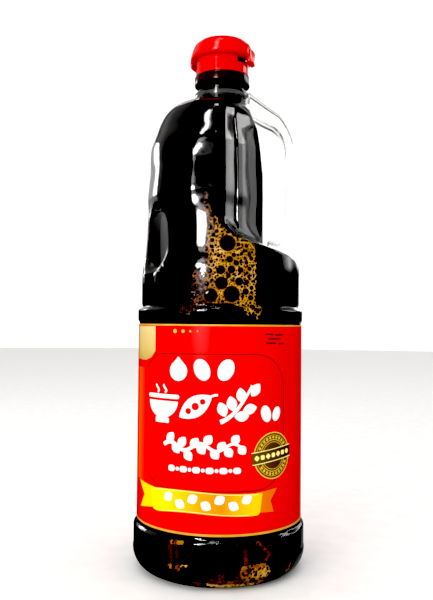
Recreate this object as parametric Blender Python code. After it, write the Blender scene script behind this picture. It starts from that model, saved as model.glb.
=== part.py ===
# Large clear bottle of soy sauce with a red flip-top cap and a clear handle.
# Run with: blender --background --python part.py
# Metres, +Z up, origin at the middle of the base. The label's front faces -Y,
# the handle is on the +X side.

import math

import bmesh
import bpy

mm = 0.001
gap = 0.3 * mm
sharp_angle = math.radians(28)

# Body outline: base, label panel, rib, shoulder, grip and neck
contact_inner_radius = 36.5 * mm
contact_outer_radius = 41.5 * mm
push_up_height = 6.0 * mm
push_up_radius = 22.0 * mm
push_up_edge_height = 5.2 * mm
base_radius = 52.3 * mm
base_corner_height = 13.0 * mm
base_top = 26.4 * mm
panel_radius = 49.7 * mm
panel_bottom = 28.2 * mm
panel_top = 147.2 * mm
rib_radius = 50.7 * mm
rib_bottom = 148.8 * mm
rib_top = 154.9 * mm
groove_radius = 47.9 * mm
groove_height = 156.9 * mm
shoulder_radius = 48.6 * mm
shoulder_bottom = 158.6 * mm
shoulder_top = 180.0 * mm

# The grip's round outline, as height and radius, up to the neck
grip_outline = [
    (190 * mm, 46.9 * mm),
    (214 * mm, 46.0 * mm),
    (224 * mm, 46.9 * mm),
    (240 * mm, 45.6 * mm),
    (255 * mm, 44.4 * mm),
    (263 * mm, 41.6 * mm),
    (270 * mm, 39.0 * mm),
    (276 * mm, 35.6 * mm),
    (280 * mm, 30.4 * mm),
    (282.6 * mm, 24.0 * mm),
    (284.2 * mm, 18.5 * mm),
]
neck_radius = 14.8 * mm
neck_bottom = 285.6 * mm
support_ring_radius = 15.4 * mm
support_ring_bottom = 290.4 * mm
support_ring_top = 292.4 * mm
finish_radius = 13.2 * mm
finish_bottom = 293.2 * mm
finish_top = 317.4 * mm
bore_radius = 11.4 * mm
neck_bore_radius = 12.8 * mm
neck_bore_top = 290.0 * mm
wall = 1.2 * mm
sauce_level = 303.0 * mm
contents_gap = 0.5 * mm

# Inner surface of the base, as radius and height, from its corner to the push-up
base_inside = [
    (49.1 * mm, 5.4 * mm),
    (40.5 * mm, 1.6 * mm),
    (35.5 * mm, 1.6 * mm),
    (22.0 * mm, 6.6 * mm),
]
base_inside_middle = 7.4 * mm

# Hand recess on the handle's side. An angle is measured from +X, the same to
# either side. A flat end wall, a slanted wall and a narrow front wall follow
# each other, and the front wall meets the round grip at the ridge.
ridge_angle = math.radians(99.5)
front_direction = math.radians(80)
slant_direction = math.radians(35.5)
front_corner_x = 1.5 * mm
end_wall_outline = [
    (238 * mm, 25.6 * mm),
    (266 * mm, 22.0 * mm),
    (281 * mm, 15.4 * mm),
]
recess_edge_height = 182.0 * mm
recess_edge_rise = 8.0 * mm  # per radian
recess_sweep_height = 25.0 * mm
recess_sweep_angle = math.radians(7.8)
recess_floor_rise = 9.0 * mm
least_cosine = 0.05

# Upright grooves in the slanted wall: middle, half width, depth, bottom, top
long_flute = (math.radians(80.3), math.radians(7.4), 1.9 * mm, 200 * mm, 275 * mm)
wide_flute = (math.radians(46), math.radians(21), 1.7 * mm, 199 * mm, 270 * mm)
flute_end = 8 * mm

# Flat faces round the grip, between these angles, and a thumb dimple below
face_corners = [ridge_angle, math.radians(113.6), math.radians(145), math.radians(180)]
faces_bottom = 206 * mm
faces_full_bottom = 222 * mm
faces_full_top = 260 * mm
faces_top = 277 * mm
dimple_angle = math.radians(155)
dimple_half_angle = math.radians(23)
dimple_height = 191 * mm
dimple_half_height = 24 * mm
dimple_depth = 1.8 * mm

# How many cells lie between two neighbouring corner angles
angle_corners = [0] + [math.radians(angle) for angle in (22, 66, 72.9, 88)] + face_corners
angle_cells = [3, 6, 1, 5, 2, 2, 4, 4]

# Foam film inside the front wall
foam_left_angle = math.radians(106.6)
foam_right_angle = math.radians(66.0)
foam_bottom = shoulder_bottom
foam_top = 224 * mm
foam_thickness = 0.9 * mm
foam_gap = 0.5 * mm
angle_slack = 0.01
height_slack = 0.01 * mm

# Label
label_bottom = 29.0 * mm
label_top = 146.4 * mm
label_thickness = 0.3 * mm

# Cap
cap_bottom = 295.6 * mm
cap_rim_radius = 17.3 * mm
cap_rim_height = 6.0 * mm
cap_rim_step = 1.0 * mm
skirt_radius = 16.5 * mm
skirt_top = 316.6 * mm
cap_deck_top = 319.0 * mm
lid_bottom = 311.4 * mm
cap_sides = 48

# The lid's outside, as radius and height: flared lip, side, shoulder and crown
lid_outline = [
    (19.2 * mm, lid_bottom),
    (20.2 * mm, 312.4 * mm),
    (19.9 * mm, 314.0 * mm),
    (19.0 * mm, 315.4 * mm),
    (18.4 * mm, 318.4 * mm),
    (16.4 * mm, 322.0 * mm),
    (12.5 * mm, 324.0 * mm),
    (6.25 * mm, 325.1 * mm),
    (0, 325.4 * mm),
]
hinge_angle = math.radians(-25)
hinge_inner_radius = 18.0 * mm
hinge_radius = 20.6 * mm
hinge_lug_bottom = 307.4 * mm
hinge_lug_top = 317.2 * mm
hinge_block_inner_radius = 17.2 * mm
hinge_block_radius = 20.0 * mm
hinge_block_bottom = 311.8 * mm
hinge_block_top = 319.6 * mm
hinge_block_start = math.radians(-35)
hinge_lug_start = math.radians(-11)
hinge_block_end = math.radians(-9)
hinge_lug_end = math.radians(21)
tongue_inner_radius = 18.9 * mm
tongue_radius = 20.4 * mm
tongue_bottom = 308.4 * mm
tongue_top = 313.6 * mm
tongue_half_angle = math.radians(19.6)

# Handle
handle_half_width = 7.0 * mm
bar_inner = 39.5 * mm
bar_outer = 46.8 * mm
bar_bottom = 204.0 * mm
outer_bend_bottom = 244.0 * mm
outer_bend_x = 26.0 * mm
outer_bend_z = 40.0 * mm
outer_bend_turns = (55, 40, 25, 12, 0)
inner_bend_bottom = 252.0 * mm
inner_bend_x = 11.0 * mm
inner_bend_z = 18.0 * mm
inner_bend_turns = (0, 20, 40, 60, 78)
collar_inner_radius = neck_radius + gap
collar_outer_radius = 17.2 * mm
collar_bottom = 287.0 * mm
collar_top = 290.0 * mm

# Corners of the strap in X and Z, in millimetres: where its arm leaves the
# collar, above and below, and its foot from the bar's outer side to its inner
arm_top = [(16.2, 291.0), (27.0, 282.8)]
arm_underside = [(24.2, 272.6), (18.6, 276.0), (16.6, 280.6)]
foot_bottom = [(46.8, 184.6), (43.8, 186.6), (34.2, 190.0), (28.8, 192.6)]
foot_top = [(28.8, 198.4), (34.5, 195.8), (37.6, 196.6), (39.2, 199.8)]


def clear_scene():
    for thing in list(bpy.data.objects):
        bpy.data.objects.remove(thing, do_unlink=True)


def smooth_step(value, low, high):
    share = min(max((value - low) / (high - low), 0.0), 1.0)
    return share * share * (3 - 2 * share)


def along(outline, height):
    """Radius at a height on an outline of (height, radius) points."""
    if height <= outline[0][0]:
        return outline[0][1]
    for (low, low_radius), (high, high_radius) in zip(outline, outline[1:]):
        if height <= high:
            share = (height - low) / (high - low)
            return low_radius + share * (high_radius - low_radius)
    return outline[-1][1]


def corner_points():
    """The rounded lower corner of the base, as a quarter of an ellipse."""
    reach = base_radius - contact_outer_radius
    points = []
    for step in range(4):
        turn = math.radians(30 * step)
        height = base_corner_height * (1 - math.cos(turn))
        points.append((height, contact_outer_radius + reach * math.sin(turn)))
    return points


body_outline = corner_points() + [
    (base_top, base_radius),
    (panel_bottom, panel_radius),
    (panel_top, panel_radius),
    (rib_bottom, rib_radius),
    (rib_top, rib_radius),
    (groove_height, groove_radius),
    (shoulder_bottom, shoulder_radius),
    (shoulder_top, shoulder_radius),
]
body_outline += grip_outline
body_outline += [
    (neck_bottom, neck_radius),
    (support_ring_bottom - gap, neck_radius),
    (support_ring_bottom, support_ring_radius),
    (support_ring_top, support_ring_radius),
    (finish_bottom, finish_radius),
    (finish_top, finish_radius),
]


def recess_edge(angle):
    """Height at which the hand recess begins, sweeping up along the ridge."""
    sweep = recess_sweep_height * math.exp((angle - ridge_angle) / recess_sweep_angle)
    return recess_edge_height + recess_edge_rise * angle + sweep


def flute_depth(flute, angle, height):
    middle, half_width, depth, bottom, top = flute
    across = abs(angle - middle) / half_width
    if across >= 1:
        return 0.0
    ends = smooth_step(height, bottom, bottom + flute_end)
    ends *= 1 - smooth_step(height, top - flute_end, top)
    return depth * (1 - across * across) * ends


def wall_radius(angle, height):
    """Distance from the axis to the recess's nearest wall."""
    front = along(body_outline, height) * math.cos(ridge_angle - front_direction)
    corner_y = (front - front_corner_x * math.cos(front_direction)) / math.sin(front_direction)
    slant = front_corner_x * math.cos(slant_direction) + corner_y * math.sin(slant_direction)
    end = along(end_wall_outline, height)
    walls = ((front, front_direction), (slant, slant_direction), (end, 0))
    nearest = min(away / max(math.cos(angle - facing), least_cosine) for away, facing in walls)
    return nearest - flute_depth(long_flute, angle, height) - flute_depth(wide_flute, angle, height)


def faced_radius(angle, height, radius):
    """The round grip with its flat faces and the thumb dimple."""
    shown = smooth_step(height, faces_bottom, faces_full_bottom)
    shown *= 1 - smooth_step(height, faces_full_top, faces_top)
    for low, high in zip(face_corners, face_corners[1:]):
        if low <= angle <= high + 1e-6:
            middle = (low + high) / 2
            flat = radius * (1 - shown * (1 - math.cos((high - low) / 2)))
            radius = min(radius, flat / math.cos(angle - middle))
            break
    across = (angle - dimple_angle) / dimple_half_angle
    up = (height - dimple_height) / dimple_half_height
    return radius - dimple_depth * max(0.0, 1 - across * across - up * up)


def outer_radius(angle, height):
    """The bottle's outer surface: angle from +X, height above the floor."""
    angle = abs(angle)
    radius = along(body_outline, height)
    if shoulder_top - mm < height < neck_bottom:
        radius = faced_radius(angle, height, radius)
        edge = recess_edge(angle)
        if angle < ridge_angle + 0.02:
            into = smooth_step(height, edge, edge + recess_floor_rise)
            radius += into * (min(wall_radius(angle, height), radius) - radius)
        radius = max(radius, neck_radius)
    return radius


def inner_radius(angle, height, depth):
    """The outer surface moved inwards and away from slanting stretches."""
    nearby = (outer_radius(angle, height + shift * depth) for shift in (-1, 0, 1))
    return min(nearby) - depth


def angle_stations():
    half = [0.0]
    for (low, high), cells in zip(zip(angle_corners, angle_corners[1:]), angle_cells):
        half += [low + (high - low) * step / cells for step in range(1, cells + 1)]
    return [-angle for angle in reversed(half[1:-1])] + half


stations = angle_stations()

# Rows of the grip: shares of the way up to the recess's edge, steps over its
# floor, shares of the way on to the grip's top row, then plain heights
below_edge = [0.35, 0.7, 1.0]
over_floor = [2.4 * mm, 5.2 * mm, recess_floor_rise]
above_floor = [0.22, 0.55, 1.0]
grip_top_row = 254 * mm
dome_rows = [262 * mm, 270 * mm, 276 * mm, 280 * mm, 283.4 * mm]


def grip_rows():
    """Height of each row of the grip, as a function of the angle."""
    def edge(angle):
        return recess_edge(min(abs(angle), ridge_angle))

    def below(share):
        return lambda angle: shoulder_top + share * (edge(angle) - shoulder_top)

    def over(rise):
        return lambda angle: edge(angle) + rise

    def above(share):
        return lambda angle: (1 - share) * (edge(angle) + recess_floor_rise) + share * grip_top_row

    rows = [below(share) for share in below_edge]
    rows += [over(rise) for rise in over_floor]
    rows += [above(share) for share in above_floor]
    return rows + [level(height) for height in dome_rows]


def level(height):
    return lambda angle: height


def ring(radius_at, height_at):
    """One closed row of points round the axis."""
    points = []
    for angle in stations:
        height = height_at(angle)
        radius = radius_at(angle, height)
        points.append((radius * math.cos(angle), radius * math.sin(angle), height))
    return points


def round_ring(radius, height):
    return ring(lambda angle, at: radius, level(height))


def turned_ring(radius, height, sides):
    """One closed row of evenly spaced points."""
    turn = math.tau / sides
    return [(radius * math.cos(turn * n), radius * math.sin(turn * n), height) for n in range(sides)]


def skin(bm, rings, close_start=True, close_end=True, start_height=None, end_height=None):
    """Joins rows of points, listed from the bottom up on an outer side. Each cell is
    split from its low corner to its high one, so that nested skins stay apart."""
    rows = [[bm.verts.new(point) for point in points] for points in rings]
    count = len(rows[0])
    for first, second in zip(rows, rows[1:]):
        rising = second[0].co.z >= first[0].co.z
        for n in range(count):
            after = (n + 1) % count
            if rising:
                bm.faces.new((first[n], first[after], second[after]))
                bm.faces.new((first[n], second[after], second[n]))
            else:
                bm.faces.new((first[n], first[after], second[n]))
                bm.faces.new((first[after], second[after], second[n]))
    for close, row, height, flip in (
        (close_start, rows[0], start_height, True),
        (close_end, rows[-1], end_height, False),
    ):
        if close:
            middle = bm.verts.new((0, 0, row[0].co.z if height is None else height))
            for n in range(count):
                pair = (row[n], row[(n + 1) % count])
                bm.faces.new((middle, *reversed(pair)) if flip else (middle, *pair))
    return rows


def principled(name, colour, roughness, metallic=0.0, transmission=0.0):
    material = bpy.data.materials.new(name)
    material.use_nodes = True
    shader = material.node_tree.nodes["Principled BSDF"]
    shader.inputs["Base Color"].default_value = (*colour, 1)
    shader.inputs["Roughness"].default_value = roughness
    shader.inputs["Metallic"].default_value = metallic
    shader.inputs["Transmission Weight"].default_value = transmission
    return material


def shade(mesh):
    mesh.shade_smooth()
    mesh.set_sharp_from_angle(angle=sharp_angle)


def add_object(name, bm, material):
    bmesh.ops.recalc_face_normals(bm, faces=bm.faces)
    mesh = bpy.data.meshes.new(name)
    bm.to_mesh(mesh)
    bm.free()
    mesh.materials.append(material)
    shade(mesh)
    thing = bpy.data.objects.new(name, mesh)
    bpy.context.scene.collection.objects.link(thing)
    return thing


def lower_rows():
    """Heights of the body's outline up to the grip."""
    return [height for height, radius in body_outline if height <= shoulder_top]


def inside_rows():
    """Rows of the inner surface, which runs straight behind the panel and rib."""
    plain = [height for height in lower_rows() if height >= base_corner_height]
    plain = [height for height in plain if not panel_top <= height <= groove_height]
    return [level(height) for height in plain] + grip_rows() + [level(neck_bottom)]


def make_bottle(material):
    """The blown shell, open at the mouth under the cap."""
    bm = bmesh.new()
    outer = [round_ring(push_up_radius, push_up_edge_height), round_ring(contact_inner_radius, 0)]
    outer += [ring(outer_radius, level(height)) for height in lower_rows()]
    outer += [ring(outer_radius, row) for row in grip_rows()]
    outer += [round_ring(radius, height) for height, radius in body_outline if height >= neck_bottom]

    def inside(angle, height):
        return inner_radius(angle, height, wall)

    inner = [round_ring(bore_radius, finish_top), round_ring(bore_radius, finish_bottom)]
    inner += [round_ring(neck_bore_radius, neck_bore_top)]
    inner += [ring(inside, row) for row in reversed(inside_rows())]
    inner += [round_ring(radius, height) for radius, height in base_inside]
    skin(bm, outer + inner, start_height=push_up_height, end_height=base_inside_middle)
    return add_object("bottle", bm, material)


def foam_wide(size):
    """True where an angle to the front lies within the film's width."""
    return foam_right_angle - angle_slack <= size <= foam_left_angle + angle_slack


def foam_cells():
    """Columns and rows of the foam film, on the round wall below the recess."""
    columns = [angle for angle in stations if angle < 0 and foam_wide(-angle)]
    rows = [level(shoulder_bottom), level(shoulder_top)] + grip_rows()[:len(below_edge)]
    return columns, rows


def foam_covers(angle, height):
    """True where the film lies behind the front wall."""
    if angle > 0 or not foam_bottom <= height <= foam_top:
        return False
    size = abs(angle)
    return foam_wide(size) and height <= recess_edge(size) + height_slack


def sauce_radius(angle, height):
    inside = inner_radius(angle, height, wall)
    if foam_covers(angle, height):
        return inside - 2 * foam_gap - foam_thickness
    return min(inside - gap, inner_radius(angle, height, wall + gap))


def make_sauce(material):
    """The drink, up into the neck."""
    bm = bmesh.new()
    rings = []
    for radius, height in reversed(base_inside):
        inwards = contents_gap if radius > contact_inner_radius else 0
        rings.append(round_ring(radius - inwards, height + contents_gap))
    rings += [ring(sauce_radius, row) for row in inside_rows()]
    rings += [
        round_ring(neck_bore_radius - contents_gap, neck_bore_top),
        round_ring(bore_radius - contents_gap, finish_bottom - contents_gap),
        round_ring(bore_radius - contents_gap, sauce_level),
    ]
    skin(bm, rings, start_height=base_inside_middle + contents_gap)
    return add_object("sauce", bm, material)


def make_foam(material):
    """The film of bubbles between the drink and the front wall."""
    bm = bmesh.new()
    columns, rows = foam_cells()
    grid = {}
    outer_depth = foam_gap
    inner_depth = foam_gap + foam_thickness
    for depth in (outer_depth, inner_depth):
        for row, height_at in enumerate(rows):
            for angle in columns:
                height = height_at(angle)
                if foam_covers(angle, height):
                    radius = inner_radius(angle, height, wall) - depth
                    point = (radius * math.cos(angle), radius * math.sin(angle), height)
                    grid[depth, row, angle] = bm.verts.new(point)
    edge_count = {}
    for low in range(len(rows) - 1):
        for left, right in zip(columns, columns[1:]):
            corners = [(low, left), (low, right), (low + 1, right), (low + 1, left)]
            if all((outer_depth, *corner) in grid for corner in corners):
                for half in (corners[:3], [corners[0], *corners[2:]]):
                    bm.faces.new([grid[(outer_depth, *corner)] for corner in half])
                    bm.faces.new([grid[(inner_depth, *corner)] for corner in reversed(half)])
                for start, end in zip(corners, corners[1:] + corners[:1]):
                    edge_count[start, end] = True
    for start, end in edge_count:
        if (end, start) not in edge_count:
            bm.faces.new((
                grid[(outer_depth, *end)], grid[(outer_depth, *start)],
                grid[(inner_depth, *start)], grid[(inner_depth, *end)],
            ))
    bmesh.ops.delete(bm, geom=[vert for vert in bm.verts if not vert.link_faces], context="VERTS")
    return add_object("foam", bm, material)


def make_label(material):
    bm = bmesh.new()
    inner = panel_radius + gap
    outer = inner + label_thickness
    rows = [(outer, label_bottom), (outer, label_top), (inner, label_top), (inner, label_bottom)]
    rings = [round_ring(radius, height) for radius, height in rows]
    rows = skin(bm, rings, close_start=False, close_end=False)
    for n in range(len(stations)):
        after = (n + 1) % len(stations)
        bm.faces.new((rows[-1][n], rows[-1][after], rows[0][after], rows[0][n]))
    return add_object("label", bm, material)


def turned(name, outline, material, sides=cap_sides):
    """A turned solid from (radius, height) points; its two ends lie on the axis."""
    bm = bmesh.new()
    middle = [turned_ring(radius, height, sides) for radius, height in outline[1:-1]]
    skin(bm, middle, start_height=outline[0][1], end_height=outline[-1][1])
    return add_object(name, bm, material)


def make_cap_base(material):
    """The screwed-on skirt with its wider lower band and its deck over the mouth."""
    bore = finish_radius + gap
    deck_bottom = finish_top + gap
    outline = [
        (0, deck_bottom),
        (bore, deck_bottom),
        (bore, cap_bottom),
        (cap_rim_radius, cap_bottom),
        (cap_rim_radius, cap_bottom + cap_rim_height - cap_rim_step),
        (skirt_radius, cap_bottom + cap_rim_height),
        (skirt_radius, skirt_top),
        (skirt_radius - mm, cap_deck_top),
        (0, cap_deck_top),
    ]
    return turned("cap_base", outline, material)


def arc_block(inner, outer, bottom, top, start, end, cells=6):
    """A curved block round the axis, as a scene object for a union."""
    bm = bmesh.new()
    columns = []
    for n in range(cells + 1):
        turn = start + (end - start) * n / cells
        across = (math.cos(turn), math.sin(turn))
        corners = ((inner, bottom), (outer, bottom + mm), (outer, top - mm), (inner, top))
        column = [(radius * across[0], radius * across[1], height) for radius, height in corners]
        columns.append([bm.verts.new(point) for point in column])
    for here, there in zip(columns, columns[1:]):
        for n in range(4):
            after = (n + 1) % 4
            bm.faces.new((here[n], here[after], there[after], there[n]))
    bm.faces.new(list(reversed(columns[0])))
    bm.faces.new(columns[-1])
    bmesh.ops.recalc_face_normals(bm, faces=bm.faces)
    mesh = bpy.data.meshes.new("block")
    bm.to_mesh(mesh)
    bm.free()
    block = bpy.data.objects.new("block", mesh)
    bpy.context.scene.collection.objects.link(block)
    return block


def combine(target, tools):
    """Joins each tool object to the target as one body."""
    for tool in tools:
        modifier = target.modifiers.new("combine", "BOOLEAN")
        modifier.operation = "UNION"
        modifier.solver = "EXACT"
        modifier.object = tool
        bpy.context.view_layer.objects.active = target
        with bpy.context.temp_override(object=target, active_object=target, selected_objects=[target]):
            bpy.ops.object.modifier_apply(modifier=modifier.name)
        bpy.data.objects.remove(tool, do_unlink=True)


def make_cap_lid(material):
    """The shut lid: flared lip, domed top, pull tongue and hinge lugs."""
    inside = skirt_radius + gap
    roof = cap_deck_top + gap
    outline = [(0, roof), (inside, roof), (inside, lid_bottom)] + lid_outline
    lid = turned("cap_lid", outline, material)
    tongue = hinge_angle + math.pi
    lug = arc_block(
        hinge_inner_radius, hinge_radius, hinge_lug_bottom, hinge_lug_top,
        hinge_angle + hinge_lug_start, hinge_angle + hinge_lug_end,
    )
    block = arc_block(
        hinge_block_inner_radius, hinge_block_radius, hinge_block_bottom, hinge_block_top,
        hinge_angle + hinge_block_start, hinge_angle + hinge_block_end,
    )
    pull = arc_block(
        tongue_inner_radius, tongue_radius, tongue_bottom, tongue_top,
        tongue - tongue_half_angle, tongue + tongue_half_angle,
    )
    combine(lid, [lug, block, pull])
    shade(lid.data)
    return lid


def arc_points(centre_x, centre_z, reach_x, reach_z, turns):
    """Points of an ellipse in X and Z at the given turns in degrees."""
    points = []
    for degrees in turns:
        turn = math.radians(degrees)
        points.append((centre_x + reach_x * math.cos(turn), centre_z + reach_z * math.sin(turn)))
    return points


def handle_outline():
    """Side view of the strap in X and Z: outer edge downwards, then back up inside."""
    def metres(points):
        return [(x * mm, z * mm) for x, z in points]

    outer_bend = arc_points(
        bar_outer - outer_bend_x, outer_bend_bottom, outer_bend_x, outer_bend_z, outer_bend_turns
    )
    inner_bend = arc_points(
        bar_inner - inner_bend_x, inner_bend_bottom, inner_bend_x, inner_bend_z, inner_bend_turns
    )
    down = metres(arm_top) + outer_bend + metres(foot_bottom)
    return down + metres(foot_top) + [(bar_inner, bar_bottom)] + inner_bend + metres(arm_underside)


def make_handle(material):
    """Clear strap from a collar round the neck down to a foot in the recess."""
    bm = bmesh.new()
    side = [bm.verts.new((x, -handle_half_width, z)) for x, z in handle_outline()]
    face = bm.faces.new(side)
    moved = bmesh.ops.extrude_face_region(bm, geom=[face])
    far = [item for item in moved["geom"] if isinstance(item, bmesh.types.BMVert)]
    bmesh.ops.translate(bm, verts=far, vec=(0, 2 * handle_half_width, 0))
    bmesh.ops.recalc_face_normals(bm, faces=bm.faces)
    handle = add_object("handle", bm, material)

    ring_bm = bmesh.new()
    rows = [
        (collar_inner_radius, collar_bottom), (collar_outer_radius, collar_bottom),
        (collar_outer_radius, collar_top), (collar_inner_radius, collar_top),
    ]
    rings = [turned_ring(radius, height, cap_sides) for radius, height in rows]
    joined = skin(ring_bm, rings, close_start=False, close_end=False)
    for n in range(cap_sides):
        after = (n + 1) % cap_sides
        ring_bm.faces.new((joined[-1][n], joined[-1][after], joined[0][after], joined[0][n]))
    collar = add_object("collar", ring_bm, material)
    combine(handle, [collar])
    shade(handle.data)
    return handle


def main():
    clear_scene()
    clear_plastic = principled("clear_pet", (0.93, 0.95, 0.94), 0.05, transmission=1.0)
    drink = principled("soy_sauce", (0.012, 0.003, 0.002), 0.05)
    bubbles = principled("foam", (0.62, 0.27, 0.03), 0.4)
    print_red = principled("printed_film", (0.82, 0.01, 0.01), 0.3)
    red_plastic = principled("red_plastic", (0.75, 0.005, 0.005), 0.25)
    handle_plastic = principled("clear_handle_plastic", (0.93, 0.93, 0.92), 0.12, transmission=1.0)
    make_bottle(clear_plastic)
    make_sauce(drink)
    make_foam(bubbles)
    make_label(print_red)
    make_cap_base(red_plastic)
    make_cap_lid(red_plastic)
    make_handle(handle_plastic)


main()
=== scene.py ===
# Large clear bottle of soy sauce with a wrap label, a flip-top cap and a clear handle.
# Metres, +Z up, the label's front faces -Y and the handle is on the +X side.
import math
import random

import bmesh
import bpy
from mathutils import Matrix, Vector


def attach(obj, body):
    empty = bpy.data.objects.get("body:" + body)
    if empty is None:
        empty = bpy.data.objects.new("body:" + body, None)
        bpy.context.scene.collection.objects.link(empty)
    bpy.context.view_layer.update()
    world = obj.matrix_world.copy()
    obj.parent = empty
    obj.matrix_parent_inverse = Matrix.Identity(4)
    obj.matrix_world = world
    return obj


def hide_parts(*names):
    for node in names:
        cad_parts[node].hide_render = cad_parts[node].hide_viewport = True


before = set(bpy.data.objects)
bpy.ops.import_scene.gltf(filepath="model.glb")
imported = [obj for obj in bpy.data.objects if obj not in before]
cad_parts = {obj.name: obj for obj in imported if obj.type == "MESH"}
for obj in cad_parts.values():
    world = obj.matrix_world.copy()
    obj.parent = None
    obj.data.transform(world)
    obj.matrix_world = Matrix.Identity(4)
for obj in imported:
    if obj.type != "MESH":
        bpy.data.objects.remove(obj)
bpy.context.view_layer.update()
mm = 0.001
print("frame loaded")


# small helpers

def linear(hexColour):
    # sRGB hex to the linear colour that sockets take
    channels = [int(hexColour[start:start + 2], 16) / 255 for start in (1, 3, 5)]
    curved = [c / 12.92 if c <= 0.04045 else ((c + 0.055) / 1.055) ** 2.4 for c in channels]
    return curved + [1.0]


def plug(tree, node, inputs):
    # a socket, or a node by its first output in use, is linked; a plain value is set on the socket itself
    for socket, value in inputs.items():
        if isinstance(value, bpy.types.Node):
            value = next(output for output in value.outputs if output.enabled)
        if isinstance(value, bpy.types.NodeSocket):
            tree.links.new(value, node.inputs[socket])
        else:
            node.inputs[socket].default_value = value


def addNode(tree, kind, inputs=None, stops=None, **options):
    # one node with its settings, its links and a ramp's colour stops
    node = tree.nodes.new("ShaderNode" + kind)
    for option, value in options.items():
        setattr(node, option, value)
    plug(tree, node, inputs or {})
    if stops:
        elements = node.color_ramp.elements
        while len(elements) < len(stops):
            elements.new(1.0)
        for element, (position, colour) in zip(elements, stops):
            element.position = position
            element.color = linear(colour)
    return node


def startMaterial(name):
    material = bpy.data.materials.new(name)
    material.use_nodes = True
    tree = material.node_tree
    return material, tree, tree.nodes["Principled BSDF"]


def makeActive(piece):
    bpy.ops.object.select_all(action="DESELECT")
    piece.select_set(True)
    bpy.context.view_layer.objects.active = piece


def editAll(piece):
    makeActive(piece)
    bpy.ops.object.mode_set(mode="EDIT")
    bpy.ops.mesh.select_all(action="SELECT")


def leaveEdit():
    bpy.ops.object.mode_set(mode="OBJECT")


def newPiece(name, points, edges=(), faces=()):
    mesh = bpy.data.meshes.new(name)
    mesh.from_pydata(points, list(edges), list(faces))
    piece = bpy.data.objects.new(name, mesh)
    bpy.context.scene.collection.objects.link(piece)
    makeActive(piece)
    return piece


def applyModifier(piece, kind, **settings):
    modifier = piece.modifiers.new(kind.lower(), kind)
    for setting, value in settings.items():
        setattr(modifier, setting, value)
    makeActive(piece)
    bpy.ops.object.modifier_apply(modifier=modifier.name)


def tidyNormals(piece, mergeAt=1e-6):
    editAll(piece)
    bpy.ops.mesh.remove_doubles(threshold=mergeAt)
    bpy.ops.mesh.normals_make_consistent(inside=False)
    leaveEdit()


def shadeSmooth(piece, degrees=35):
    makeActive(piece)
    bpy.ops.object.shade_smooth_by_angle(angle=math.radians(degrees))


def dress(piece, material, slot, *nodes):
    piece.data.materials.clear()
    piece.data.materials.append(material)
    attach(piece, "root")
    if nodes:
        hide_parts(*nodes)


def faceOutwards(piece):
    # turns over a sheet that faces the bottle's axis
    face = piece.data.polygons[0]
    if face.normal.dot(face.center * Vector((1, 1, 0))) < 0:
        piece.data.flip_normals()


def joinPieces(pieces, name):
    bpy.ops.object.select_all(action="DESELECT")
    for piece in pieces:
        piece.select_set(True)
    bpy.context.view_layer.objects.active = pieces[0]
    bpy.ops.object.join()
    pieces[0].name = name
    return pieces[0]


def spinSkin(name, count, steps, place):
    # spins a straight line of points round Z, then sets each point as place says
    spacing = 0.01
    line = [(1, 0, index * spacing) for index in range(count)]
    piece = newPiece(name, line, [(index, index + 1) for index in range(count - 1)])
    editAll(piece)
    bpy.ops.mesh.spin(steps=steps, angle=math.tau, center=(0, 0, 0), axis=(0, 0, 1))
    bpy.ops.mesh.select_all(action="SELECT")
    bpy.ops.mesh.remove_doubles(threshold=1e-4)
    leaveEdit()
    for point in piece.data.vertices:
        index = round(point.co.z / spacing)
        step = round(math.atan2(point.co.y, point.co.x) / math.tau * steps)
        point.co = place(index, step)
    tidyNormals(piece)
    return piece


def spinOutline(name, outline, steps):
    # a turned piece from (radius, height) points, all the way round
    def place(index, step):
        radius, height = outline[index]
        turn = math.tau * step / steps
        return (radius * math.cos(turn), radius * math.sin(turn), height)
    return spinSkin(name, len(outline), steps, place)


def roundCorners(points, reach, cuts=4):
    # swaps each inner corner of a line for a short curve
    rounded = [points[0]]
    for before, corner, after in zip(points, points[1:], points[2:]):
        back, ahead = Vector(before) - Vector(corner), Vector(after) - Vector(corner)
        near = min(reach, 0.45 * back.length, 0.45 * ahead.length)
        start = Vector(corner) + back.normalized() * near
        end = Vector(corner) + ahead.normalized() * near
        for cut in range(cuts + 1):
            t = cut / cuts
            point = start * (1 - t) ** 2 + Vector(corner) * 2 * t * (1 - t) + end * t ** 2
            rounded.append(tuple(point))
    rounded.append(points[-1])
    return rounded


def smoothStep(value, low, high):
    share = min(max((value - low) / (high - low), 0.0), 1.0)
    return share * share * (3 - 2 * share)


def along(outline, height):
    if height <= outline[0][0]:
        return outline[0][1]
    for (low, lowRadius), (high, highRadius) in zip(outline, outline[1:]):
        if height <= high:
            return lowRadius + (height - low) / (high - low) * (highRadius - lowRadius)
    return outline[-1][1]


def softMin(first, second, blend):
    # the smaller of two, with the edge between them rounded off
    near = max(blend - abs(first - second), 0.0) / blend
    return min(first, second) - near * near * blend / 4


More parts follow.
